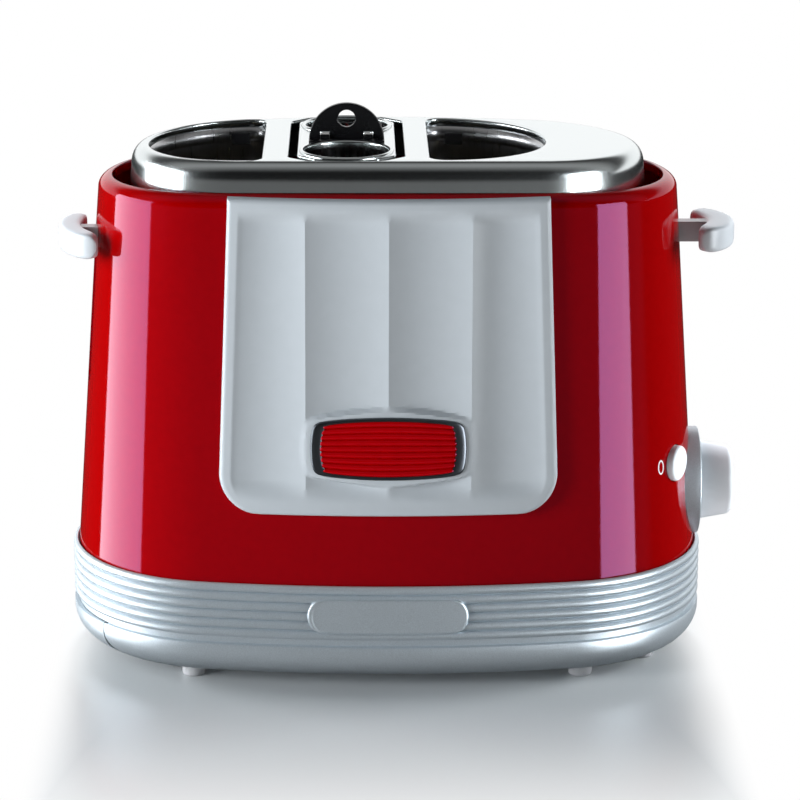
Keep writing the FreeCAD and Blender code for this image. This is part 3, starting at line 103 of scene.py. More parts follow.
def even_ways(shape, count):
    """Ways to face, in radians, that lie evenly along an oval: the lengths of its arcs, each a radius
    times a turn, are added up and read backwards."""
    joint, ends, longs = shape["joint"], shape["end"], shape["long"]
    turns = np.array([0, joint, math.pi - joint, math.pi + joint, 2 * math.pi - joint, 2 * math.pi])
    lengths = np.diff(turns) * np.array([ends, longs, ends, longs, ends])
    travelled = np.concatenate([[0], np.cumsum(lengths)])
    return np.interp(np.arange(count) / count * travelled[-1], travelled, turns)


def on_oval(shape, ways, inset=0.0):
    """Points of an oval from the way each one faces: its arc's centre plus the arc's radius along that way.
    An inset takes the same amount off every radius, so ovals of one kind nest at an even distance."""
    across, up = np.cos(ways), np.sin(ways)
    on_end = np.abs(across) >= math.cos(shape["joint"]) - 1e-9
    radius = np.where(on_end, shape["end"], shape["long"]) - inset
    x = np.where(on_end, np.sign(across) * shape["reach"], 0) + radius * across + middle_x
    y = np.where(on_end, 0, -np.sign(up) * shape["back"]) + radius * up
    return x, y


def front_depth(shape, x, inset=0.0):
    """How far the front long arc stands before the middle plane at a place across the front."""
    return np.sqrt((shape["long"] - inset) ** 2 - (x - middle_x) ** 2) - shape["back"]


def skin_inset(z):
    """How much the leaning shell is drawn in at a height."""
    return (z - shell_bottom) * lean


shell_oval = oval(shell_half_width, shell_half_depth, shell_bow)
base_oval = oval(shell_half_width + base_step, shell_half_depth + base_step, shell_bow)
lid_gap, lid_end_gap, rim_width = 0.8 * mm, 7.9 * mm, 5.8 * mm
lid_oval = oval(shell_half_width - rim_inset - rim_width - lid_end_gap,
                shell_half_depth - rim_inset - rim_width - lid_gap, 3.4 * mm)
print(f"long arcs of {shell_oval['long']:.3f} m, end arcs of {shell_oval['end']:.4f} m")

# %% [markdown]
# ## From numbers to meshes
# A surface is a grid of points. Its faces join each point to the next one along and the next one around, and
# a ring or a loop closes on itself. All corners are numbered at once as arrays, which is faster and easier
# to check than a walk over the vertices. Shading is smooth except where two faces meet at a real corner.

# %% Grids, pieces and cuts


def grid_faces(rows, columns, around=False, along=False):
    """Corner numbers of a grid's quads; around closes its columns on themselves, along its rows."""
    row, column = np.meshgrid(np.arange(rows if along else rows - 1),
                              np.arange(columns if around else columns - 1), indexing="ij")
    above, right = (row + 1) % rows, (column + 1) % columns
    corners = [row * columns + column, row * columns + right,
               above * columns + right, above * columns + column]
    return np.stack(corners, axis=-1).reshape(-1, 4)


def make_mesh(name, parts, crease=35.0):
    """One mesh from (points, faces) pairs: shared points are merged and every face is turned outwards."""
    mesh = bpy.data.meshes.new(name)
    points = np.concatenate([np.asarray(spots, float).reshape(-1, 3) for spots, _ in parts])
    starts = np.cumsum([0] + [np.asarray(spots).size // 3 for spots, _ in parts[:-1]])
    moved = [np.asarray(group) + start for (_, group), start in zip(parts, starts)]
    faces = [face for group in moved for face in group.tolist()]
    mesh.from_pydata(points, [], faces)
    work = bmesh.new()
    work.from_mesh(mesh)
    bmesh.ops.remove_doubles(work, verts=work.verts, dist=2e-6)
    bmesh.ops.dissolve_degenerate(work, edges=work.edges, dist=1e-7)
    bmesh.ops.recalc_face_normals(work, faces=work.faces)
    work.to_mesh(mesh)
    work.free()
    mesh.shade_smooth()
    mesh.set_sharp_from_angle(angle=math.radians(crease))
    return mesh


def add_piece(name, parts, body, slot, stands_for=(), crease=35.0, look=None):
    """Put a mesh into the scene and hand it to the body that carries it. Its finish is the one of its slot,
    unless another look is named."""
    item = bpy.data.objects.new(name, make_mesh(name, parts, crease))
    bpy.context.collection.objects.link(item)
    item.data.materials.append(finishes[look or slot])
    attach(item, body)
    if stands_for:
        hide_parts(*stands_for)
    print(f"{name}: {len(item.data.polygons)} faces on {body}")
    return item


def take_away(item, cutters, crease=35.0):
    """Cut closed meshes out of a piece for good, and forget the cutters."""
    for number, parts in enumerate(cutters):
        tool = bpy.data.objects.new(f"cutter_{number}", make_mesh(f"cutter_{number}", parts))
        bpy.context.collection.objects.link(tool)
        bite = item.modifiers.new("bite", "BOOLEAN")
        bite.operation, bite.solver, bite.object = "DIFFERENCE", "EXACT", tool
        bpy.context.view_layer.update()
        shown = item.evaluated_get(bpy.context.evaluated_depsgraph_get())
        left = bpy.data.meshes.new_from_object(shown)
        item.modifiers.clear()
        item.data = left
        bpy.data.objects.remove(tool)
    item.data.shade_smooth()
    item.data.set_sharp_from_angle(angle=math.radians(crease))
    print(f"{item.name}: {len(item.data.polygons)} faces after {len(cutters)} cuts")


# %% Forms that come back often


def arc_loop(arcs, step):
    """A closed outline of arcs joined by straight runs, and the way each of its points faces.
    Each arc is (centre x, centre y, radius, from, to) in metres and degrees, in turning order."""
    spots, ways = [], []
    for x, y, radius, start, stop in arcs:
        count = max(3, int(math.radians(abs(stop - start)) * radius / step) + 1)
        way = np.radians(np.linspace(start, stop, count))
        spots.append(np.stack([x + radius * np.cos(way), y + radius * np.sin(way)], -1))
        ways.append(way)
    loop, way = np.concatenate(spots), np.concatenate(ways)
    gaps = np.linalg.norm(np.roll(loop, -1, 0) - loop, axis=1)
    extra = np.maximum(np.round(gaps / step).astype(int), 1)
    first = np.repeat(np.arange(len(loop)), extra)
    share = (np.arange(extra.sum()) - np.repeat(np.cumsum(extra) - extra, extra)) / extra[first]
    after = (first + 1) % len(loop)
    turn = np.angle(np.exp(1j * (way[after] - way[first])))
    return loop[first] + share[:, None] * (loop[after] - loop[first]), way[first] + share * turn


def upright_loop(x, low, high, radius, step):
    """The outline of an upright run with round ends, a circle where both share a centre."""
    return arc_loop([(x, high, radius, 0, 180), (x, low, radius, 180, 360)], step)


def cut_corner_loop(x, y, half_width, half_depth, corner, radius, step):
    """The loop of a block with four cut corners, each of its eight edges a little rounded."""
    ease = radius * math.tan(math.radians(22.5))
    near_x, near_y = half_width - corner - ease, half_depth - corner - ease
    arcs = []
    for quarter, (a, b) in enumerate([(1, 1), (-1, 1), (-1, -1), (1, -1)]):
        pair = [(x + a * (half_width - radius), y + b * near_y),
                (x + a * near_x, y + b * (half_depth - radius))]
        pair = pair if quarter % 2 == 0 else pair[::-1]
        arcs += [(*pair[0], radius, 90 * quarter, 90 * quarter + 45),
                 (*pair[1], radius, 90 * quarter + 45, 90 * quarter + 90)]
    return arc_loop(arcs, step)


def half_round_loop(side, edge_x, centre_x, radius, corner, step):
    """A bun slot's outline: a straight side, a large arc and two rounded corners; side is -1 at the left."""
    hold = edge_x + side * corner
    rise = math.sqrt((radius - corner) ** 2 - (hold - centre_x) ** 2)
    turn = math.degrees(math.atan2(rise, hold - centre_x))
    if side < 0:
        arcs = [(hold, rise, corner, 0, turn), (centre_x, 0, radius, turn, 360 - turn),
                (hold, -rise, corner, 360 - turn, 360)]
    else:
        arcs = [(hold, -rise, corner, 180, 360 - turn), (centre_x, 0, radius, -turn, turn),
                (hold, rise, corner, turn, 180)]
    return arc_loop(arcs, step)


def carried(loop, ways, profile):
    """A profile carried round a loop: each profile point is (how far out of the loop, height)."""
    profile = np.asarray(profile, float)
    facing = np.stack([np.cos(ways), np.sin(ways)], -1)
    flat = loop[None] + profile[:, 0, None, None] * facing[None]
    heights = np.broadcast_to(profile[:, 1, None, None], (*flat.shape[:2], 1))
    return np.concatenate([flat, heights], axis=-1)


def round_oval(shape, profile, count):
    """A profile of (how far out, height) points carried round an oval."""
    x, y = on_oval(shape, even_ways(shape, count)[None], -profile[:, :1])
    return np.stack([x, y, np.broadcast_to(profile[:, 1:], x.shape)], -1)


def quarter_turn(x, z, radius_x, radius_z, start, stop, count=7):
    """Points of an elliptic arc between two angles in degrees, as profile points."""
    way = np.radians(np.linspace(start, stop, count))
    return np.stack([x + radius_x * np.cos(way), z + radius_z * np.sin(way)], -1)


def squarish(turn, power):
    """Both coordinates of a squarish oval: cosine and sine, their sizes raised to a power below 1."""
    across, up = np.cos(turn), np.sin(turn)
    return np.sign(across) * np.abs(across) ** power, np.sign(up) * np.abs(up) ** power


def turned(profile, place, axis, count=64):
    """A profile of (radius, height) points turned round an axis that starts at a place."""
    profile = np.asarray(profile, float)
    way = np.linspace(0, 2 * math.pi, count, endpoint=False)
    ring = np.stack([profile[:, 0, None] * np.cos(way), profile[:, 0, None] * np.sin(way),
                     np.repeat(profile[:, 1, None], count, 1)], -1)
    turn = np.array(Vector(axis).to_track_quat("Z", "Y").to_matrix())
    return ring @ turn.T + np.array(place), grid_faces(len(profile), count, around=True)


def block(low, high):
    """A closed block between two corners, used only to cut with."""
    corner = np.array([[a, b, c] for a in (0, 1) for b in (0, 1) for c in (0, 1)])
    faces = np.array([[0, 1, 3, 2], [4, 6, 7, 5], [0, 4, 5, 1], [2, 3, 7, 6], [0, 2, 6, 4], [1, 5, 7, 3]])
    return np.array(low) + corner * (np.array(high) - np.array(low)), faces


def crown_drop(x):
    """How much the top falls from its middle towards the ends: the distance squared over twice the crown's
    radius, which is close to a shallow arc."""
    return (x - middle_x) ** 2 / (2 * crown_radius)


# %% [markdown]
# ## Finishes
# A finish is a Principled shader fed by noise on Object coordinates, so the pattern stays on the piece when
# it moves. Enamel gets a faint orange peel and a tint in what it mirrors at a slant, brushed steel gets
# noise stretched along the brush strokes, and moulded plastic gets a soft mottle. Values that are even all
# over stay on the shader's own sockets.

# %% One builder for every finish
finishes = {}
relief_depth = 0.2 * mm


def new_finish(name, colour, roughness, metallic=0.0, spread=0.03, scale=60.0, stretch=(1, 1, 1),
               rough_spread=0.04, bump=0.02, tint=(1, 1, 1), specular=0.5):
    """A finish whose colour, roughness and relief vary a little with noise stretched along one direction."""
    finish = bpy.data.materials.new(name)
    finish.use_nodes = True
    nodes, links = finish.node_tree.nodes, finish.node_tree.links
    shader = nodes["Principled BSDF"]
    shader.inputs["Metallic"].default_value = metallic
    shader.inputs["Specular Tint"].default_value = (*tint, 1)
    shader.inputs["Specular IOR Level"].default_value = specular
    place = nodes.new("ShaderNodeTexCoord")
    mapping = nodes.new("ShaderNodeMapping")
    mapping.inputs["Scale"].default_value = stretch
    noise = nodes.new("ShaderNodeTexNoise")
    noise.inputs["Scale"].default_value = scale
    noise.inputs["Detail"].default_value = 4.0
    links.new(place.outputs["Object"], mapping.inputs["Vector"])
    links.new(mapping.outputs["Vector"], noise.inputs["Vector"])
    shades = nodes.new("ShaderNodeValToRGB")
    shades.color_ramp.elements[0].position, shades.color_ramp.elements[1].position = 0.3, 0.7
    shades.color_ramp.elements[0].color = (*[c * (1 - spread) for c in colour], 1)
    shades.color_ramp.elements[1].color = (*[min(1, c * (1 + spread)) for c in colour], 1)
    links.new(noise.outputs["Fac"], shades.inputs["Fac"])
    links.new(shades.outputs["Color"], shader.inputs["Base Color"])
    levels = nodes.new("ShaderNodeMapRange")
    levels.inputs["To Min"].default_value = max(0.0, roughness - rough_spread)
    levels.inputs["To Max"].default_value = roughness + rough_spread
    links.new(noise.outputs["Fac"], levels.inputs["Value"])
    links.new(levels.outputs["Result"], shader.inputs["Roughness"])
    relief = nodes.new("ShaderNodeBump")
    relief.inputs["Strength"].default_value = bump
    relief.inputs["Distance"].default_value = relief_depth
    links.new(noise.outputs["Fac"], relief.inputs["Height"])
    links.new(relief.outputs["Normal"], shader.inputs["Normal"])
    finishes[name] = finish
    return finish


# %% The finishes that carry the look
new_finish("red_enamel", (0.25, 0.0, 0.0002), 0.06, spread=0.03, scale=260, rough_spread=0.02, bump=0.006,
           tint=(1.0, 0.40, 1.0), specular=0.25)
new_finish("white_plastic", (0.80, 0.83, 0.87), 0.30, spread=0.012, scale=180, bump=0.02, specular=0.2)
# Painted shade: the panel's white plastic darkened to about half its colour, so the white panel reads grey
# under the lamps.
new_finish("shaded_panel_white", (0.455, 0.49, 0.52), 0.30, spread=0.012, scale=180, bump=0.02, specular=0.2)
new_finish("satin_silver", (0.58, 0.64, 0.685), 0.46, metallic=0.70, spread=0.10, scale=2600,
           rough_spread=0.07, bump=0.10)
new_finish("brushed_lid", (0.64, 0.68, 0.685), 0.20, metallic=1.0, spread=0.025, scale=900,
           stretch=(2, 2, 0.04), rough_spread=0.05, bump=0.012)
new_finish("steel", (0.50, 0.50, 0.51), 0.30, metallic=1.0, spread=0.07, scale=240, stretch=(3, 3, 0.2),
           rough_spread=0.08, bump=0.06)
new_finish("chrome", (0.66, 0.67, 0.69), 0.12, metallic=1.0, spread=0.02, scale=90, bump=0.005)
new_finish("dark_chrome", (0.11, 0.12, 0.135), 0.34, metallic=1.0, spread=0.03, scale=140, bump=0.01)
new_finish("badge_red", (0.40, 0.0, 0.0003), 0.16, spread=0.04, scale=200, bump=0.01, tint=(1.0, 0.40, 1.0),
           specular=0.3)
# Painted shade: the levers' white plastic darkened to about two thirds, so the levers near the left lamps read
# greyish white.
new_finish("shaded_lever_white", (0.50, 0.53, 0.56), 0.34, spread=0.012, scale=180, bump=0.02)
print(len(finishes), "finishes for the outside")

# %% The finishes of small and inner pieces
new_finish("black_gloss", (0.006, 0.006, 0.007), 0.28, spread=0.10, scale=150, bump=0.01, specular=0.25)
new_finish("black_plastic", (0.016, 0.016, 0.018), 0.48, spread=0.15, scale=500, bump=0.12)
new_finish("grey_plastic", (0.34, 0.33, 0.34), 0.40, spread=0.03, scale=300, bump=0.06)
new_finish("grey_rubber", (0.42, 0.42, 0.43), 0.42, spread=0.05, scale=400, bump=0.08)
new_finish("mica", (0.52, 0.45, 0.33), 0.55, spread=0.16, scale=120, stretch=(1, 1, 2), bump=0.12)
new_finish("ribbon", (0.26, 0.22, 0.20), 0.45, metallic=0.9, spread=0.15, scale=220, bump=0.08)
new_finish("brass", (0.72, 0.52, 0.24), 0.28, metallic=1.0, spread=0.06, scale=160, bump=0.05)
new_finish("copper", (0.56, 0.22, 0.10), 0.32, metallic=0.8, spread=0.08, scale=900, stretch=(1, 1, 6),
           bump=0.25)
new_finish("circuit_green", (0.02, 0.18, 0.07), 0.45, spread=0.25, scale=420, bump=0.10)
new_finish("white_ink", (0.80, 0.80, 0.80), 0.45, spread=0.02, scale=300, bump=0.02)
print(len(finishes), "finishes in all")

# %% Every node of the frame takes its slot's finish
slot_of = {entry["node"]: entry["material_slot"] for entry in frame["record"]["subparts"]}
for node, item in frame["nodes"].items():
    item.data.materials.clear()
    item.data.materials.append(finishes[slot_of[node]])
print(len(slot_of), "nodes dressed")

# %% [markdown]
# ## Red shell
# The shell is one deep drawing of sheet steel under enamel. Its section is a closed profile: up the leaning
# wall, over a round shoulder, along the flat rim, down its inner edge and back down inside. The profile is
# carried round the oval, and the top follows the crown. The lever slots and the two round holes are cut
# last, because only a few faces near them change and the gloss of the rest stays smooth.

# %% The shell's profile carried round its oval
shell_wall, shoulder, rim_drop = 2.2 * mm, 6.0 * mm, 4.6 * mm
shoulder_z = shell_top - shoulder
turn_in = skin_inset(shoulder_z) + shoulder
climb = np.linspace(0, 1, 60)[:, None]
outside = climb * [-skin_inset(shoulder_z), shoulder_z - shell_bottom] + [0, shell_bottom]
rounding = quarter_turn(-turn_in, shoulder_z, shoulder, shoulder, lean_degrees, 90, 12)
rim_in, rim_ease, ease_middle = rim_inset + rim_width, 0.5 * mm, 0.15 * mm
under_z = shell_top - rim_drop
rim = np.array([[-rim_in + rim_ease, shell_top], [-rim_in + ease_middle, shell_top - ease_middle],
                [-rim_in, shell_top - rim_ease], [-rim_in, under_z],
                [-skin_inset(under_z) - shell_wall, under_z], [-shell_wall, shell_bottom]])
points = round_oval(shell_oval, np.concatenate([outside, rounding, rim]), 420)
crown_start = 185 * mm
near_top = np.clip((points[..., 2] - crown_start) / (shell_top - crown_start), 0, 1) ** 2
points[..., 2] -= near_top * crown_drop(points[..., 0])
red_shell = add_piece("red_shell", [(points, grid_faces(*points.shape[:2], around=True, along=True))],
                      "housing", "red_enamel", ["outer_shell"])

# %% The slots and holes in the shell
lever_z, travel = 190.0 * mm, 62.0 * mm
slot_half = 4.05 * mm
left_lever_y = -11.0 * mm
button_z, button_way = 92.0 * mm, math.radians(-30)
button_out = Vector((math.cos(button_way), math.sin(button_way), 0))
button_skin = shell_oval["end"] - skin_inset(button_z)
button_place = Vector((middle_x + shell_oval["reach"], 0, button_z)) + button_out * button_skin
dial_z = 74.3 * mm


def lever_slot(outer_x, inner_x, y):
    """A slot right through the wall, as tall as the way of a lever's stem and round at both ends."""
    loop, _ = upright_loop(y, lever_z - travel, lever_z, slot_half, 1.0 * mm)
    rows = np.stack([np.concatenate([np.full((len(loop), 1), x), loop], 1) for x in (outer_x, inner_x)])
    lids = [list(range(len(loop))), list(range(len(loop), 2 * len(loop)))]
    return [(rows, grid_faces(2, len(loop), around=True)), (rows, lids)]


def round_hole(place, axis, radius, depth):
    """A closed round bar centred on a place, to cut a hole with."""
    return [turned([(0, -depth), (radius, -depth), (radius, depth), (0, depth)], place, axis, 72)]


right_x, left_x = middle_x + shell_half_width, middle_x - shell_half_width
cut_past, cut_in = 5 * mm, 25 * mm
button_hole, shaft_hole = 8.3 * mm, 3.6 * mm
take_away(red_shell, [
    lever_slot(right_x + cut_past, right_x - cut_in, 0.0),
    lever_slot(left_x - cut_past, left_x + cut_in, left_lever_y),
    round_hole(button_place, button_out, button_hole, 10 * mm),
    round_hole((right_x, 0, dial_z), (1, 0, 0), shaft_hole, 15 * mm)])

# %% [markdown]
# ## White panel
# The front panel is a moulding with four hollow flutes between upright ridges. It is a height field over the
# shell's skin: columns of the grid run along the ridges, so each ridge is a clean edge, and the side columns
# follow the outline round the two lower corners. The flutes fade out under the top edge and above the bottom
# one, and a smooth pad rises under the badge.

# %% Sizes of the panel and of the badge's outline
panel_low, panel_high = 80.5 * mm, 217.2 * mm
panel_foot, panel_head, panel_corner = 73.6 * mm, 68.6 * mm, 18.0 * mm
panel_proud, ridge_pitch, flute_depth, panel_edge = 3.6 * mm, 35.6 * mm, 3.1 * mm, 2.0 * mm
top_land, top_fade = 3.5 * mm, 7 * mm
foot_land, foot_fade = 6 * mm, 9 * mm
side_land, side_fade, flute_end = 3.5 * mm, 3 * mm, 4.5 * mm
fine_band = 4 * mm
badge_z, badge_half, badge_rise = 110.8 * mm, 33.5 * mm, 13.75 * mm
badge_side, badge_arch = 43 * mm, 240 * mm
pad_reach, pad_fade, pad_rise = 4.2 * mm, 2.0 * mm, 0.5 * mm
print(f"panel {1000 * (panel_high - panel_low):.1f} mm tall, badge {2000 * badge_half:.1f} mm wide")

# %% The panel as a height field on the shell


def bowed_reach(way, half_width, half_height, side_radius, top_radius, sharpness=16):
    """How far a ray from the middle goes before a barrel-shaped outline stops it: the nearer of two pairs of
    bowed sides, as a soft minimum that rounds the corners."""
    across, up = np.abs(np.cos(way)), np.abs(np.sin(way))
    side_back, top_back = half_width - side_radius, half_height - top_radius
    under_root = side_radius ** 2 - (up * side_back) ** 2
    to_side = np.where(under_root > 0, across * side_back + np.sqrt(np.maximum(under_root, 0)), 1.0)
    to_top = up * top_back + np.sqrt(top_radius ** 2 - (across * top_back) ** 2)
    return (to_side ** -sharpness + to_top ** -sharpness) ** (-1 / sharpness)


def ease(value):
    """A soft step from 0 to 1: three squares less two cubes."""
    value = np.clip(value, 0, 1)
    return value * value * (3 - 2 * value)


def panel_surface():
    """The panel's face: x runs between ridges and z runs up. The height over the skin is the ridge height
    less the flutes, each 4 depth t (1 - t) across, plus the badge's pad, rounded off at the outline."""
    tall = panel_high - panel_low
    rise = np.concatenate([np.linspace(0, panel_corner, 34, endpoint=False),
                           np.linspace(panel_corner, tall - fine_band, 110, endpoint=False),
                           np.linspace(tall - fine_band, tall, 12)])
    z = (panel_low + rise)[:, None]
    below = np.clip(panel_corner - rise, 0, panel_corner)
    corner_in = (panel_corner - np.sqrt(panel_corner ** 2 - below ** 2))[:, None]
    half = (panel_foot + (panel_head - panel_foot) * rise / tall)[:, None] - corner_in
    outer = np.concatenate([np.linspace(0, 0.84, 27, endpoint=False), np.linspace(0.84, 1, 14)])[None]
    ridge = np.full_like(z, ridge_pitch)
    right = ridge + (half - ridge) * outer
    centre = ridge * np.linspace(-1, 1, 67)[None, 1:-1]
    x = np.concatenate([-right[:, ::-1], centre, right], 1)
    corner_x = np.abs(x) - (half + corner_in - panel_corner)
    corner_z = panel_corner - rise[:, None]
    outside = np.hypot(np.maximum(corner_x, 0), np.maximum(corner_z, 0))
    outside = outside + np.minimum(np.maximum(corner_x, corner_z), 0)
    margin = np.clip(np.minimum(panel_corner - outside, panel_high - z), 0, None)
    share = np.abs(x) / ridge_pitch
    side_share = 1 + (share - 1) * ridge_pitch / (half - flute_end - ridge_pitch)
    within = np.clip(np.where(share < 1, share, side_share), 0, 2) % 1.0
    hollow = 4 * within * (1 - within)
    fade = ease((panel_high - top_land - z) / top_fade) * ease((z - panel_low - foot_land) / foot_fade)
    fade = fade * ease((half - side_land - np.abs(x)) / side_fade)
    level = panel_proud - flute_depth * hollow * fade
    way = np.arctan2(z - badge_z, x)
    beyond = np.hypot(x, z - badge_z) - bowed_reach(way, badge_half, badge_rise, badge_side, badge_arch)
    level = level + (panel_proud + pad_rise - level) * ease((pad_reach - beyond) / pad_fade)
    drop = np.clip(panel_edge - margin, 0, panel_edge)
    level = level - (panel_edge - np.sqrt(panel_edge ** 2 - drop ** 2))
    y = -front_depth(shell_oval, x + middle_x, skin_inset(z)) - level
    return x + middle_x, y, np.broadcast_to(z, x.shape)


# %% The face and the border that goes back to the skin
border_sunk, top_tuck = 0.6 * mm, 5.0 * mm
x, y, z = panel_surface()
face = np.stack([x, y, z], -1)
behind = face.copy()
behind[..., 1] = -front_depth(shell_oval, x, skin_inset(z)) + border_sunk
behind[-1, :, 1] += top_tuck
framed = np.concatenate([behind[:1], face, behind[-1:]])
left = np.concatenate([behind[:1, :1], behind[:, :1], behind[-1:, :1]])
right = np.concatenate([behind[:1, -1:], behind[:, -1:], behind[-1:, -1:]])
framed = np.concatenate([left, framed, right], axis=1)
# The panel takes white plastic darkened as painted shade, not a colour of its own.
add_piece("white_panel", [(framed, grid_faces(*framed.shape[:2]))], "housing", "white_plastic",
          ["front_panel"], crease=28, look="shaded_panel_white")

# %% [markdown]
# ## Badge
# The badge is a barrel-shaped bezel round a ribbed red field. The bezel is the band between two barrel
# outlines, with a height that rises over it like a bead, and the field's ribs follow the bowed top and
# bottom. Both are drawn flat, bent along the front's long arc and then leant back with the panel.

# %% The bezel and the ribbed field
badge_turn = Matrix.Rotation(-math.radians(lean_degrees), 3, "X")
badge_place = np.array([middle_x, -(shell_half_depth + panel_proud - skin_inset(badge_z)), badge_z])


def on_badge(across, up, out):
    """Places of badge points: across and up along the front and out of it, leant back with the panel."""
    bow = shell_half_depth - front_depth(shell_oval, across + middle_x)
    flat = np.stack([across, bow - out, up], -1)
    return flat @ np.array(badge_turn).T + badge_place


way = np.linspace(0, 2 * math.pi, 320, endpoint=False)
bezel_side, bezel_rise, inner_side, inner_arch = 4.6 * mm, 1.6 * mm, 34 * mm, 220 * mm
outer_reach = bowed_reach(way, badge_half, badge_rise, badge_side, badge_arch)
inner_reach = bowed_reach(way, badge_half - bezel_side, badge_rise - bezel_rise, inner_side, inner_arch)
share = np.array([0, 0, 0.06, 0.2, 0.42, 0.66, 0.86, 1.0, 1.0])[:, None]
height = np.array([-1.2, 0.9, 1.25, 1.5, 1.7, 1.8, 1.7, 1.4, -1.2])[:, None] * mm
reach = outer_reach + (inner_reach - outer_reach) * share
bezel = on_badge(reach * np.cos(way), reach * np.sin(way), np.broadcast_to(height, reach.shape))
add_piece("badge_bezel", [(bezel, grid_faces(len(share), len(way), around=True, along=True))],
          "housing", "dark_chrome", ["badge_frame"], crease=50)

field_half, field_rise, rib_count = badge_half - 4.2 * mm, badge_rise - 1.3 * mm, 9
side_bow, top_bow, field_out, rib_height = 0.06, 0.13, 0.65 * mm, 1.15 * mm
along, above = np.meshgrid(np.linspace(-1, 1, 61), np.linspace(-1, 1, 181))
across = field_half * along * (1 - side_bow * above ** 2)
up = field_rise * above * (1 - top_bow * along ** 2)
ribs = rib_height * np.abs(np.cos(math.pi * rib_count * above / 2)) ** 0.7
field = on_badge(across, up, field_out + ribs)
badge_field = add_piece("badge_field", [(field, grid_faces(*above.shape))], "housing", "badge_red",
                        ["badge_insert"], crease=60)
badge_field.modifiers.new("thickness", "SOLIDIFY").thickness = 0.6 * mm

# %% [markdown]
# ## Silver base
# The base is a die-cast ring with six round beads above a plain band that curves in under the toaster. Its
# profile is carried round the oval like the shell's. The mouth of the crumb tray is cut through the left
# end, and the tray's own front is a length of the same lower band.

# %% The ribbed ring
base_bottom, base_top, band_top = 5.5 * mm, 48.5 * mm, 21.6 * mm
bead_count, bead_pitch, bead_depth, base_curve = 6, 4.15 * mm, 1.9 * mm, 13.0 * mm
top_bead_in, bead_half = 1.35 * mm, 1.95 * mm
seat_in, wall_in, floor_edge, floor_z = 2.3 * mm, 5.0 * mm, 34.0 * mm, 8.0 * mm
beads = []
for i in range(bead_count):
    centre = base_top - top_bead_in - (bead_count - 1 - i) * bead_pitch
    bead = quarter_turn(-bead_depth, centre, bead_depth, bead_half, -86, 86, 11)
    beads += [bead, [[-bead_depth, centre + 0.5 * bead_pitch]]] if i < bead_count - 1 else [bead]
under = quarter_turn(-base_curve, base_bottom + base_curve, base_curve, base_curve, 270, 360, 14)
band = [[0, band_top - 1.2 * mm], [-0.3 * mm, band_top - 0.4 * mm], [-bead_depth, band_top]]
inner = [[-seat_in, base_top - 0.2 * mm], [-seat_in, shell_bottom], [-wall_in, shell_bottom],
         [-wall_in, base_bottom + base_curve], [-base_curve, floor_z], [-floor_edge, floor_z]]
base_profile = np.concatenate([[[-floor_edge, base_bottom]], under, band, *beads, inner])
points = round_oval(base_oval, base_profile, 400)
silver_base = add_piece("silver_base", [(points, grid_faces(*points.shape[:2], around=True, along=True))],
                        "housing", "satin_silver", ["base_ring"], crease=40)

# %% The tray's mouth and the inlet's hole
tray_half, tray_gap = 45.0 * mm, 0.4 * mm
inlet_x, inlet_z, inlet_radius = middle_x + 60.0 * mm, 14.0 * mm, 5.5 * mm
mouth = block((base_left - 10 * mm, -tray_half - tray_gap, floor_z),
              (base_left + 50 * mm, tray_half + tray_gap, band_top))
inlet = round_hole((inlet_x, shell_half_depth, inlet_z), (0, 1, 0), inlet_radius, 20 * mm)
take_away(silver_base, [[mouth], inlet], crease=40)

# %% The front of the crumb tray, a length of the lower band
tray_low, tray_high, tray_columns = 8.4 * mm, 21.2 * mm, 90
rise = np.linspace(tray_low, tray_high, 26)
lower = np.clip(base_bottom + base_curve - rise, 0, base_curve)
outer = base_curve - np.sqrt(base_curve ** 2 - lower ** 2)
tray_back = [[5.0 * mm, tray_high], [5.0 * mm, 15 * mm], [14.0 * mm, tray_low]]
tray_profile = np.concatenate([np.stack([outer, rise], -1), tray_back])
bend = math.asin(tray_half / base_oval["end"])
ways = np.linspace(math.pi - bend, math.pi + bend, tray_columns)
x, y = on_oval(base_oval, ways[None], tray_profile[:, :1])
points = np.stack([x, np.clip(y, -tray_half, tray_half), np.broadcast_to(tray_profile[:, 1:], x.shape)], -1)
ends = [list(range(side, len(points) * tray_columns, tray_columns)) for side in (0, tray_columns - 1)]
add_piece("tray_face", [(points, grid_faces(*points.shape[:2], along=True)), (points, ends)],
          "tray", "satin_silver", ["tray_front"], crease=40)

# %% [markdown]
# ## Plate on the base
# A plate with bowed ends sits over the beads at the front. It is a barrel outline once more, bent round the
# base: rings of the outline shrink to the middle, a bevel drops at the edge, and a fine raised line runs
# inside it.

# %% The plate bent round the base
plate_z, plate_half, plate_rise = 35.8 * mm, 35.0 * mm, 7.8 * mm
plate_side, plate_arch, plate_sharpness = 9 * mm, 1.6, 26
way = np.linspace(0, 2 * math.pi, 300, endpoint=False)
reach = bowed_reach(way, plate_half, plate_rise, plate_side, plate_arch, plate_sharpness)
ring = np.array([1.0, 1.0, 0.99, 0.975, 0.96, 0.945, 0.935, 0.925, 0.9, 0.7, 0.45, 0.2, 0.0])[:, None]
out = np.array([-2.4, 0.5, 1.0, 1.15, 1.15, 1.1, 0.9, 0.88, 0.88, 0.88, 0.88, 0.88, 0.88])[:, None] * mm
x = middle_x + ring * reach * np.cos(way)
z = plate_z + ring * reach * np.sin(way)
y = -front_depth(base_oval, x) - out
points = np.stack([x, np.broadcast_to(y, x.shape), z], -1)
add_piece("name_plate", [(points, grid_faces(*points.shape[:2], around=True))], "housing",
          "satin_silver", ["label_plate"], crease=45)

# %% [markdown]
# ## Feet
# Six small feet carry the toaster. Each one is a profile turned round its own axis, a little wider at the
# top and rounded where it meets the table.

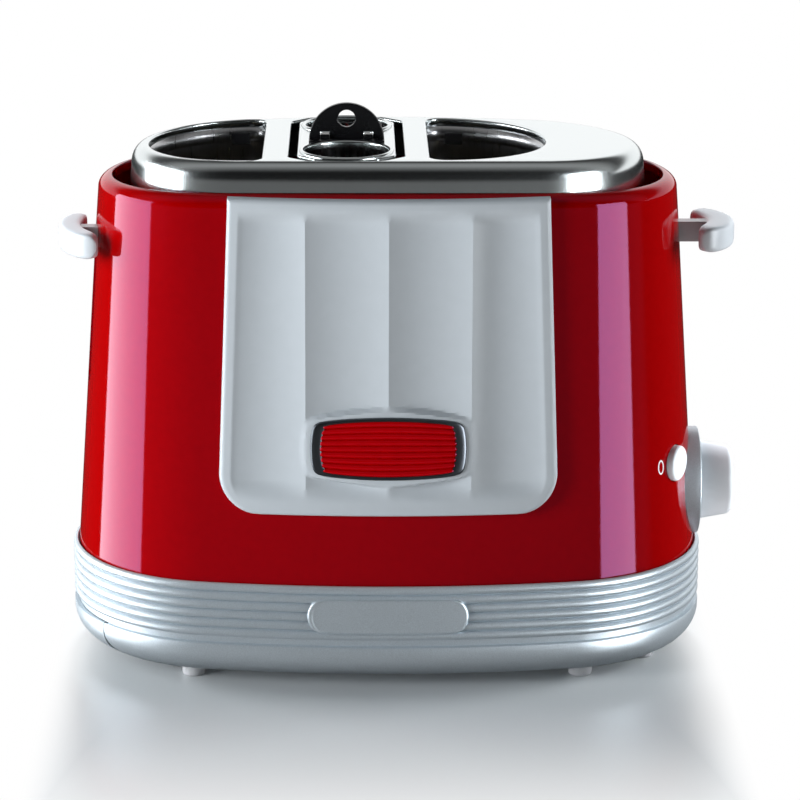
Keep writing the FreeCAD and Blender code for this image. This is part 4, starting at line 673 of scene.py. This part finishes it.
# %% Six turned feet
foot_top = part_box("feet")[1][2]
foot_x = shell_half_width + base_step - 56.4 * mm
end_foot_x = shell_half_width + base_step - 27.6 * mm
foot_y, end_foot_y = shell_half_depth + base_step - 26.9 * mm, shell_half_depth + base_step - 49.9 * mm
foot_spots = [(middle_x + a * foot_x, b * foot_y) for a in (-1, 1) for b in (-1, 1)]
foot_spots += [(middle_x + end_foot_x, b * end_foot_y) for b in (-1, 1)]
foot_profile = np.concatenate([[[0, 0]], quarter_turn(4.3 * mm, 0.9 * mm, 0.9 * mm, 0.9 * mm, 270, 360, 5),
                               [[5.65 * mm, 4.6 * mm], [5.75 * mm, 5.5 * mm], [0, 5.5 * mm]]])
add_piece("foot_set", [turned(foot_profile, (x, y, 0), (0, 0, 1), 40) for x, y in foot_spots],
          "housing", "grey_rubber", ["feet"], crease=50)
print(f"feet up to {1000 * foot_profile[-1, 1]:.1f} mm, in the frame up to {1000 * foot_top:.1f} mm")

# %% [markdown]
# ## Steel lid
# The lid is a pressing: an upright wall, a rounded shoulder and a flat top with three openings. A flat sheet
# with holes is no plain grid, so its parts are made apart and merged: the wall is a profile carried round
# the oval, each opening is a rolled edge carried round its own loop, and the sheet between the loops is
# filled with a net of triangles. The sheet, the shoulder and the rolled edges all follow the same shallow
# crown.

# %% Openings and the net between them
lid_bottom = 212.6 * mm
lid_rounding, roll = 9.0 * mm, 0.9 * mm
chute_left_x, chute_right_x = middle_x - 58.0 * mm, middle_x + 22.5 * mm
slot_radius, slot_corner = 47.0 * mm, 7.0 * mm
left_edge_x, right_edge_x = middle_x - 54.4 * mm, middle_x + 17.7 * mm
basket_x = middle_x - 18.0 * mm
mouth_x, mouth_y, mouth_cut, mouth_ease = 25 * mm, 49 * mm, 9 * mm, 4.0 * mm
loop_step = 1.6 * mm
openings = {
    "left": half_round_loop(-1, left_edge_x, chute_left_x, slot_radius, slot_corner, loop_step),
    "mouth": cut_corner_loop(basket_x, 0, mouth_x, mouth_y, mouth_cut, mouth_ease, loop_step),
    "right": half_round_loop(1, right_edge_x, chute_right_x, slot_radius, slot_corner, loop_step)}


def crowned(points, low, high):
    """The same points with the crown's fall, in full at the high level and not at all at the low one."""
    weight = np.clip((points[..., 2] - low) / (high - low), 0, 1)
    fallen = points.copy()
    fallen[..., 2] -= weight * crown_drop(points[..., 0])
    return fallen


def inside(loop, spots):
    """Which spots lie inside a loop: a line to the right of such a spot crosses the loop an odd number of
    times."""
    a, b = loop, np.roll(loop, -1, 0)
    y = spots[:, 1, None]
    crosses = (a[:, 1] > y) != (b[:, 1] > y)
    with np.errstate(divide="ignore", invalid="ignore"):
        at = a[:, 0] + (y - a[:, 1]) / (b[:, 1] - a[:, 1]) * (b[:, 0] - a[:, 0])
    return (crosses & (spots[:, 0, None] < at)).sum(1) % 2 == 1


def net(outer, holes, pitch):
    """Triangles of a flat sheet between an outer loop and its holes, on a regular net of inner points."""
    loops = [outer, *holes]
    xs, ys = np.meshgrid(np.arange(outer[:, 0].min(), outer[:, 0].max(), pitch),
                         np.arange(outer[:, 1].min(), outer[:, 1].max(), pitch))
    spots = np.stack([xs.ravel(), ys.ravel()], -1)
    border = np.concatenate(loops)
    nearest = np.min(np.linalg.norm(spots[:, None] - border[None], axis=2), axis=1)
    spots = spots[nearest > 0.7 * pitch]
    starts = np.cumsum([0] + [len(loop) for loop in loops[:-1]])
    edges = [(int(start + i), int(start + (i + 1) % len(loop)))
             for loop, start in zip(loops, starts) for i in range(len(loop))]
    flat = [Vector(spot) for spot in np.concatenate([border, spots])]
    corners, _, faces, *_ = delaunay_2d_cdt(flat, edges, [], 0, 1e-7)
    corners, faces = np.array(corners), np.array(faces)
    middles = corners[faces].mean(1)
    keep = inside(outer, middles)
    for hole in holes:
        keep &= ~inside(hole, middles)
    return corners, faces[keep]


def flat_part(corners, z):
    """Flat corners lifted to a height."""
    return np.concatenate([corners, np.full((len(corners), 1), z)], 1)


def out_of(loop, ways, distance):
    """A loop moved outwards by a distance."""
    return loop + distance * np.stack([np.cos(ways), np.sin(ways)], -1)


# %% The lid's wall, its rolled edges and its sheet
lid_lean = math.tan(math.radians(4.0))
lid_draw = (lid_top - lid_bottom) * lid_lean
round_in, round_past, roll_depth = 0.62 * lid_rounding, 0.6 * mm, 3.7 * mm
rise = np.linspace(0, lid_top - lid_bottom - lid_rounding, 12)
wall = np.stack([-lid_lean * rise, lid_bottom + rise], -1)
shoulder_arc = quarter_turn(-lid_draw - round_in, lid_top - lid_rounding, round_in + round_past,
                            lid_rounding, 5, 90, 14)
lid_wall = round_oval(lid_oval, np.concatenate([wall, shoulder_arc]), 360)
lid_parts = [(lid_wall, grid_faces(*lid_wall.shape[:2], around=True))]
rolled = quarter_turn(roll, lid_top - roll, roll, roll, 90, 180, 6)
rolled = np.concatenate([rolled, [[0, lid_top - roll_depth]]])
edges = []
for loop, loop_ways in openings.values():
    lid_parts.append((carried(loop, loop_ways, rolled), grid_faces(len(rolled), len(loop), around=True)))
    edges.append(out_of(loop, loop_ways, roll))
corners, faces = net(lid_wall[-1, :, :2], edges, 4.0 * mm)
lid_parts.append((flat_part(corners, lid_top), faces))
lid_parts = [(crowned(np.asarray(points), lid_bottom, lid_top), faces) for points, faces in lid_parts]
steel_lid = add_piece("steel_lid", lid_parts, "housing", "brushed_lid", ["lid"], crease=40)
steel_lid.modifiers.new("thickness", "SOLIDIFY").thickness = 0.7 * mm

# %% Chutes below the bun slots, with a pressed step
chute_steps = [[0.05, -3.6], [0.05, -9.0], [0.35, -9.6], [0.9, -10.2], [1.0, -11.0], [1.0, -28.7]]
chute = np.array(chute_steps) * mm + [0, lid_top]
for word in ("left", "right"):
    loop, loop_ways = openings[word]
    piece = add_piece(f"chute_{word}", [(crowned(carried(loop, loop_ways, chute), lid_bottom, lid_top),
                                         grid_faces(len(chute), len(loop), around=True))],
                      "housing", "steel", [f"bun_chute_{word}"], crease=50)
    thickness = piece.modifiers.new("thickness", "SOLIDIFY")
    thickness.thickness, thickness.offset = 0.15 * mm, 0

# %% [markdown]
# ## Sausage basket
# A plate with cut corners drops into the middle mouth and carries two round tubes. The plate is a net of
# triangles like the lid's top, with a folded edge outside and a rolled bead round each tube. A black half
# disc with a finger hole folds up from a bar behind the front tube.

# %% The plate and its two rolled beads
plate_top, plate_thick = lid_top, 1.8 * mm
tube_radius, tube_y, bead = 18.2 * mm, 29.0 * mm, 1.1 * mm
plate_x, plate_y, plate_cut, plate_ease, fold_radius = 21.25 * mm, 46 * mm, 8 * mm, 3.0 * mm, 0.7 * mm
edge_loop, edge_ways = cut_corner_loop(basket_x, 0, plate_x, plate_y, plate_cut, plate_ease, loop_step)
fold = quarter_turn(-fold_radius, plate_top - fold_radius, fold_radius, fold_radius, 0, 90, 5)
fold = np.concatenate([[[-fold_radius, plate_top - plate_thick], [0, plate_top - plate_thick]], fold])
plate_parts = [(carried(edge_loop, edge_ways, fold), grid_faces(len(fold), len(edge_loop), around=True))]
lip = quarter_turn(bead, plate_top, bead, bead, 0, 180, 10)
lip = np.concatenate([lip, [[0, plate_top - plate_thick]]])
hole_edges = []
for y in (-tube_y, tube_y):
    loop, loop_ways = upright_loop(basket_x, y, y, tube_radius, 1.2 * mm)
    plate_parts.append((carried(loop, loop_ways, lip), grid_faces(len(lip), len(loop), around=True)))
    hole_edges.append(out_of(loop, loop_ways, 2 * bead))
corners, faces = net(out_of(edge_loop, edge_ways, -fold_radius), hole_edges, 3.0 * mm)
plate_parts.append((flat_part(corners, plate_top), faces))
add_piece("basket_top", plate_parts, "basket", "brushed_lid", ["basket_plate"], crease=40)

# %% The folding half disc
hinge_y, hinge_z = -6.3 * mm, 233.4 * mm
flap_radius, flap_thick, hole_radius = 16.5 * mm, 3.0 * mm, 3.8 * mm
flap_foot = hinge_z - flap_thick / 2
hole_z = hinge_z + 8.2 * mm
knuckle_x, knuckle_half, notch_half, notch_over = 9.5 * mm, 2.15 * mm, 4 * mm, 2.55 * mm
way = np.linspace(0, 2 * math.pi, 240, endpoint=False)
sunk = hole_z - flap_foot
to_arc = -sunk * np.sin(way) + np.sqrt(flap_radius ** 2 - (sunk * np.cos(way)) ** 2)
to_foot = sunk / np.maximum(-np.sin(way), 1e-3)
flap_reach = (to_arc ** -30 + to_foot ** -30) ** (-1 / 30)
round_x, round_y = squarish(np.linspace(0, 2 * math.pi, 28, endpoint=False)[:, None], 0.24)
reach = (hole_radius + flap_reach) / 2 + (flap_reach - hole_radius) / 2 * round_x
y = np.broadcast_to(hinge_y + flap_thick / 2 * round_y, reach.shape)
points = np.stack([basket_x + reach * np.cos(way), y, hole_z + reach * np.sin(way)], -1)
folding_flap = add_piece("folding_flap", [(points, grid_faces(*reach.shape, around=True, along=True))],
                         "handle", "black_gloss", ["handle_flap"], crease=60)
notches = [[block((basket_x + a * knuckle_x - knuckle_half, hinge_y - notch_half, plate_top),
                  (basket_x + a * knuckle_x + knuckle_half, hinge_y + notch_half, hinge_z + notch_over))]
           for a in (-1, 1)]
take_away(folding_flap, notches, crease=50)

# %% [markdown]
# ## Levers
# Each lever is a crescent that a finger presses down. It is a bent bar: its middle line is an arc between
# the two tips, and its section is a squarish oval that closes at both tips. The same function makes both,
# from the tips and from how far the outside and the hollow side stand out of the line between them.

# %% Two crescents


def crescent(tip_a, tip_b, outer, hollow, z, half_height, squareness=0.42):
    """A bent bar: the middle line is an arc through the tips that stands out by the mean of outer and
    hollow; the section is a superellipse whose width is outer less hollow and closes towards the tips."""
    a, b = np.array(tip_a), np.array(tip_b)
    along = (b - a) / np.linalg.norm(b - a)
    across = np.array([along[1], -along[0]])
    half_chord, stand = np.linalg.norm(b - a) / 2, (outer + hollow) / 2
    radius = (half_chord ** 2 + stand ** 2) / (2 * stand)
    spread = math.asin(half_chord / radius)
    rows, columns = 90, 56
    t = -np.cos(np.linspace(0, math.pi, rows))
    bend = (t * spread)[:, None]
    centre = (a + b) / 2 + across * (stand - radius)
    line = centre + radius * (np.sin(bend) * along + np.cos(bend) * across)
    outward = np.sin(bend) * along + np.cos(bend) * across
    width = (outer - hollow) / 2 * (1 - np.abs(t) ** 3.2) ** 0.5
    tall = half_height * (1 - np.abs(t) ** 14) ** 0.5
    side, top = squarish(np.linspace(0, 2 * math.pi, columns, endpoint=False), squareness)
    flat = line[:, None] + (width[:, None] * side)[..., None] * outward[:, None]
    height = z + tall[:, None] * top
    return np.concatenate([flat, height[..., None]], -1), grid_faces(rows, columns, around=True)


lever_half = 5.8 * mm
right_end, left_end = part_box("lever_right")[1][0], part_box("lever_left")[0][0]
right_tips = (middle_x + 136.86 * mm, -20.8 * mm), (middle_x + 136.86 * mm, 20.8 * mm)
left_tips = (middle_x - 134.9 * mm, 12.5 * mm), (middle_x - 126.2 * mm, -34.5 * mm)
# Both levers take white plastic darkened as painted shade, not a colour of their own.
add_piece("finger_right", [crescent(*right_tips, 16.9 * mm, 4.4 * mm, lever_z, lever_half)],
          "carriage", "white_plastic", ["lever_right"], crease=60, look="shaded_lever_white")
add_piece("finger_left", [crescent(*left_tips, 14.1 * mm, 4.2 * mm, lever_z, lever_half)],
          "carriage", "white_plastic", ["lever_left"], crease=60, look="shaded_lever_white")
print(f"in the frame the levers reach x {1000 * right_end:.1f} mm and {1000 * left_end:.1f} mm")

# %% [markdown]
# ## Timer knob, dial and stop button
# These are turned parts. The knob is a blunt cone with a rounded face, the dial behind it is a thin silver
# disc with tick marks, and the stop button is a shallow dome that stands square to the shell's curve.

# %% The knob and its pointer
knob_low, knob_high = (np.array(corner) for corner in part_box("control_knob"))
knob_length, knob_radius, knob_ease = knob_high[0] - knob_low[0], 17.2 * mm, 0.5 * mm
knob_profile = np.concatenate([
    [[3.2 * mm, 0], [knob_radius, 0]],
    quarter_turn(knob_radius, knob_ease, knob_ease, knob_ease, 270, 360, 4),
    quarter_turn(12.6 * mm, knob_length - 3.2 * mm, 3.1 * mm, 3.1 * mm, 6, 90, 10),
    [[9 * mm, knob_length - 0.6 * mm], [4 * mm, knob_length - 0.9 * mm], [0, knob_length - 1.0 * mm]]])
add_piece("dial_knob", [turned(knob_profile, (knob_low[0], 0, dial_z), (1, 0, 0), 96)], "knob",
          "white_plastic", ["control_knob"], crease=32)
pointer_x = knob_low[0] + knob_length - 1.0 * mm
pointer_loop, pointer_ways = upright_loop(0, 4.2 * mm, 11.6 * mm, 0.9 * mm, 0.4 * mm)
pointer_rise = [(0, 0), (0, 0.8 * mm), (-0.25 * mm, 0.95 * mm), (-0.85 * mm, 0.95 * mm)]
pointer = carried(pointer_loop, pointer_ways, pointer_rise)
pointer = np.stack([pointer_x + pointer[..., 2], pointer[..., 0], dial_z + pointer[..., 1]], -1)
add_piece("knob_pointer", [(pointer, grid_faces(*pointer.shape[:2], around=True))], "knob",
          "grey_plastic", crease=50)

# %% The dial, its ticks and the stop button
dial_face_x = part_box("dial_disc")[1][0]
dial_radius, dial_ease = 24.2 * mm, 0.6 * mm
dial_profile = np.concatenate([
    [[3.7 * mm, -1.2 * mm], [19.5 * mm, -1.2 * mm], [20.2 * mm, -0.5 * mm]],
    quarter_turn(dial_radius - dial_ease, -dial_ease, dial_ease, dial_ease, 90, 0, 5),
    [[dial_radius, -3.4 * mm], [dial_radius, -8.2 * mm], [3.7 * mm, -8.2 * mm]]])
add_piece("dial_plate", [turned(dial_profile, (dial_face_x, 0, dial_z), (1, 0, 0), 120)], "housing",
          "satin_silver", ["dial_disc"], crease=32)
tick_low, tick_high, tick_half, tick_sunk = 20.9 * mm, 23.0 * mm, 0.22 * mm, 0.05 * mm
mark, mark_ways = upright_loop(0, tick_low, tick_high, tick_half, 0.3 * mm)
flat = carried(mark, mark_ways, [(0, -0.1 * mm), (0, 0.12 * mm), (-0.2 * mm, 0.12 * mm)])
ticks = []
for degrees in range(-120, 121, 30):
    cosine, sine = math.cos(math.radians(degrees)), math.sin(math.radians(degrees))
    across, up = flat[..., 0] * cosine + flat[..., 1] * sine, flat[..., 1] * cosine - flat[..., 0] * sine
    tick = np.stack([dial_face_x + flat[..., 2] - tick_sunk, across, dial_z + up], -1)
    ticks.append((tick, grid_faces(*tick.shape[:2], around=True)))
add_piece("dial_ticks", ticks, "housing", "black_plastic", crease=50)
button_profile = np.concatenate([
    [[0, -15 * mm], [3.0 * mm, -15 * mm], [3.0 * mm, -5 * mm], [7.9 * mm, -5 * mm]],
    quarter_turn(6.7 * mm, 1.0 * mm, 1.2 * mm, 1.3 * mm, 0, 78, 7),
    [[5.2 * mm, 2.55 * mm], [3 * mm, 2.7 * mm], [0, 2.75 * mm]]])
add_piece("stop_cap", [turned(button_profile, button_place, button_out, 72)], "stop", "white_plastic",
          ["stop_button"], crease=35)

# %% The printed nought beside the button
nought_way, nought_z = math.radians(-41.0), 93.0 * mm
ring_wide, ring_tall, stroke, ink_rise = 1.75 * mm, 2.9 * mm, 0.36 * mm, 0.06 * mm
turn, fat = np.meshgrid(np.linspace(0, 2 * math.pi, 72, endpoint=False),
                        np.linspace(0, 2 * math.pi, 8, endpoint=False))
along = (ring_wide + stroke * np.cos(fat)) * np.cos(turn)
up = nought_z + (ring_tall + stroke * np.cos(fat)) * np.sin(turn)
skin = shell_oval["end"] - skin_inset(up) + ink_rise * np.sin(fat)
facing = nought_way + along / skin
points = np.stack([middle_x + shell_oval["reach"] + skin * np.cos(facing), skin * np.sin(facing), up], -1)
add_piece("nought_mark", [(points, grid_faces(*turn.shape, around=True, along=True))], "housing",
          "white_plastic", crease=80, look="white_ink")

# %% [markdown]
# ## Floor, light and camera
# The photograph is a studio picture on white. The floor is grey only near the toaster and turns into white
# paper with the sixth power of the distance to the side, and more gently towards the front. The light is
# split in two. What glossy surfaces mirror is a pair of tall strips at the left and the right and a world
# that is graded along its arch: dark just above the horizon in front, so the red stays deep, and white low
# behind, so the flat lid turns pale. What the colours scatter comes from four soft boxes that nothing
# mirrors.

# %% The floor
floor_half = 3.0
side = np.linspace(-1, 1, 3)
xs, ys = np.meshgrid(side * floor_half, side * floor_half)
floor_sheet = (np.stack([xs, ys, np.zeros_like(xs)], -1), grid_faces(3, 3))
floor = bpy.data.objects.new("floor", make_mesh("floor", [floor_sheet]))
bpy.context.collection.objects.link(floor)
floor_finish = new_finish("floor_finish", (0.60, 0.62, 0.63), 0.22, spread=0.004, scale=14, bump=0.0,
                          specular=0.3)
nodes, links = floor_finish.node_tree.nodes, floor_finish.node_tree.links
place = nodes.new("ShaderNodeTexCoord")
spread = nodes.new("ShaderNodeSeparateXYZ")
links.new(place.outputs["Object"], spread.inputs["Vector"])


def step_node(operation, first, second):
    """One step of arithmetic in the node tree at hand; a number goes on the socket, an output is linked."""
    step = nodes.new("ShaderNodeMath")
    step.operation = operation
    for socket, value in zip(step.inputs, (first, second)):
        if isinstance(value, (int, float)):
            socket.default_value = value
        else:
            links.new(value, socket)
    return step.outputs["Value"]


def mixed(share, first, second):
    """Two shaders mixed by a share that a node gives: none of it shows the first, all of it the second."""
    mix = nodes.new("ShaderNodeMixShader")
    for socket, value in zip(mix.inputs, (share, first, second)):
        links.new(value, socket)
    return mix.outputs["Shader"]


# %% The floor's fade into white
fade_half, fade_power = 0.15, 6
sideways = step_node("ABSOLUTE", step_node("SUBTRACT", spread.outputs["X"], middle_x), 0)
sideways = step_node("POWER", step_node("DIVIDE", sideways, fade_half), fade_power)
forward = step_node("ABSOLUTE", spread.outputs["Y"], 0)
away = []
for value, low_end, high_end in ((sideways, 0.18, 1.0), (forward, 0.10, 0.28)):
    fade = nodes.new("ShaderNodeMapRange")
    fade.interpolation_type = "SMOOTHSTEP"
    fade.inputs["From Min"].default_value, fade.inputs["From Max"].default_value = low_end, high_end
    links.new(value, fade.inputs["Value"])
    away.append(fade.outputs["Result"])
paper = nodes.new("ShaderNodeEmission")
paper.inputs["Color"].default_value, paper.inputs["Strength"].default_value = (1, 1, 1, 1), 1.0
clear = nodes.new("ShaderNodeBsdfTransparent")
path = nodes.new("ShaderNodeLightPath")
distant, painted = step_node("MAXIMUM", *away), nodes["Principled BSDF"].outputs["BSDF"]
surface = mixed(distant, painted, paper.outputs["Emission"])
surface = mixed(path.outputs["Is Glossy Ray"], surface, clear.outputs["BSDF"])
links.new(surface, nodes["Material Output"].inputs["Surface"])
floor.data.materials.append(floor_finish)

# %% The world: white to the camera, and graded along its arch in what gloss mirrors
world = bpy.data.worlds.new("studio")
bpy.context.scene.world = world
world.use_nodes = True
nodes, links = world.node_tree.nodes, world.node_tree.links
nodes.clear()
out = nodes.new("ShaderNodeOutputWorld")
path = nodes.new("ShaderNodeLightPath")
fill, mirrored, seen = (nodes.new("ShaderNodeBackground") for _ in range(3))
fill.inputs["Color"].default_value, fill.inputs["Strength"].default_value = (0.90, 0.96, 1, 1), 0.04
seen.inputs["Color"].default_value, seen.inputs["Strength"].default_value = (1, 1, 1, 1), 1.0
direction = nodes.new("ShaderNodeTexCoord")
parts = nodes.new("ShaderNodeSeparateXYZ")
links.new(direction.outputs["Generated"], parts.inputs["Vector"])
arch = step_node("ARCTAN2", parts.outputs["Z"], step_node("MULTIPLY", parts.outputs["Y"], -1.0))
share = nodes.new("ShaderNodeMapRange")
share.inputs["From Min"].default_value, share.inputs["From Max"].default_value = -math.pi, math.pi
links.new(arch, share.inputs["Value"])
sky = nodes.new("ShaderNodeValToRGB")
links.new(share.outputs["Result"], sky.inputs["Fac"])
sky_stops = [(-90, 0.02), (-50, 0.14), (-6, 0.16), (4, 0.004), (40, 0.004), (62, 0.16), (80, 0.28),
             (100, 0.22), (122, 0.03), (140, 0.06), (152, 1.0)]
for _ in sky_stops[2:]:
    sky.color_ramp.elements.new(0.5)
for element, (degrees, level) in zip(sky.color_ramp.elements, sky_stops):
    element.position, element.color = (degrees + 180) / 360, (level, level, level, 1)
links.new(sky.outputs["Color"], mirrored.inputs["Color"])
mirrored.inputs["Strength"].default_value = 1.25
shown = mixed(path.outputs["Is Glossy Ray"], fill.outputs["Background"], mirrored.outputs["Background"])
shown = mixed(path.outputs["Is Camera Ray"], shown, seen.outputs["Background"])
links.new(shown, out.inputs["Surface"])
print(len(sky_stops), "grades along the arch, from straight below over the front to low behind")

# %% Soft boxes


def soft_box(name, bearing, distance, height, width, tall, power, mirrored_only=False, plain_only=False):
    """An area lamp on a bearing in degrees from the front, positive to the right, that faces the toaster."""
    turn = math.radians(bearing)
    lamp = bpy.data.lights.new(name, "AREA")
    lamp.shape, lamp.size, lamp.size_y, lamp.energy = "RECTANGLE", width, tall, power
    lamp.color = (0.93, 0.97, 1.0)
    item = bpy.data.objects.new(name, lamp)
    item.location = (distance * math.sin(turn), -distance * math.cos(turn), height)
    facing = Vector((0, 0, min(height, 0.12))) - item.location
    item.rotation_euler = facing.to_track_quat("-Z", "Y").to_euler()
    item.visible_diffuse, item.visible_glossy = not mirrored_only, not plain_only
    bpy.context.collection.objects.link(item)
    return item


soft_box("left_strip", -91.0, 2.0, 0.10, 1.60, 1.6, 77.0, mirrored_only=True)
soft_box("right_strip", 57.0, 2.0, 0.10, 1.00, 1.6, 60.0, mirrored_only=True)
soft_box("left_key", -62.0, 2.0, 0.35, 0.60, 1.2, 60.0, plain_only=True)
soft_box("left_end_key", -108.0, 2.0, 0.35, 1.00, 1.2, 68.0, plain_only=True)
soft_box("right_key", 102.0, 2.0, 0.35, 0.80, 1.2, 78.0, plain_only=True)
soft_box("back_key", 180.0, 2.4, 1.9, 0.5, 0.5, 105.0, plain_only=True)

# %% The camera where the photograph was taken
camera_data = bpy.data.cameras.new("camera")
camera = bpy.data.objects.new("camera", camera_data)
bpy.context.collection.objects.link(camera)
bpy.context.scene.camera = camera
view_angle, view_pitch = math.radians(14.12), math.radians(15.78)
camera_data.sensor_width = 36.0
camera_data.lens = 18.0 / math.tan(view_angle / 2)
camera.location = (-0.0215, -1.400, 0.5072)
camera_data.shift_x = 0.061
camera.rotation_euler = (math.pi / 2 - view_pitch, 0, 0)
bpy.context.scene.view_settings.view_transform = "Standard"
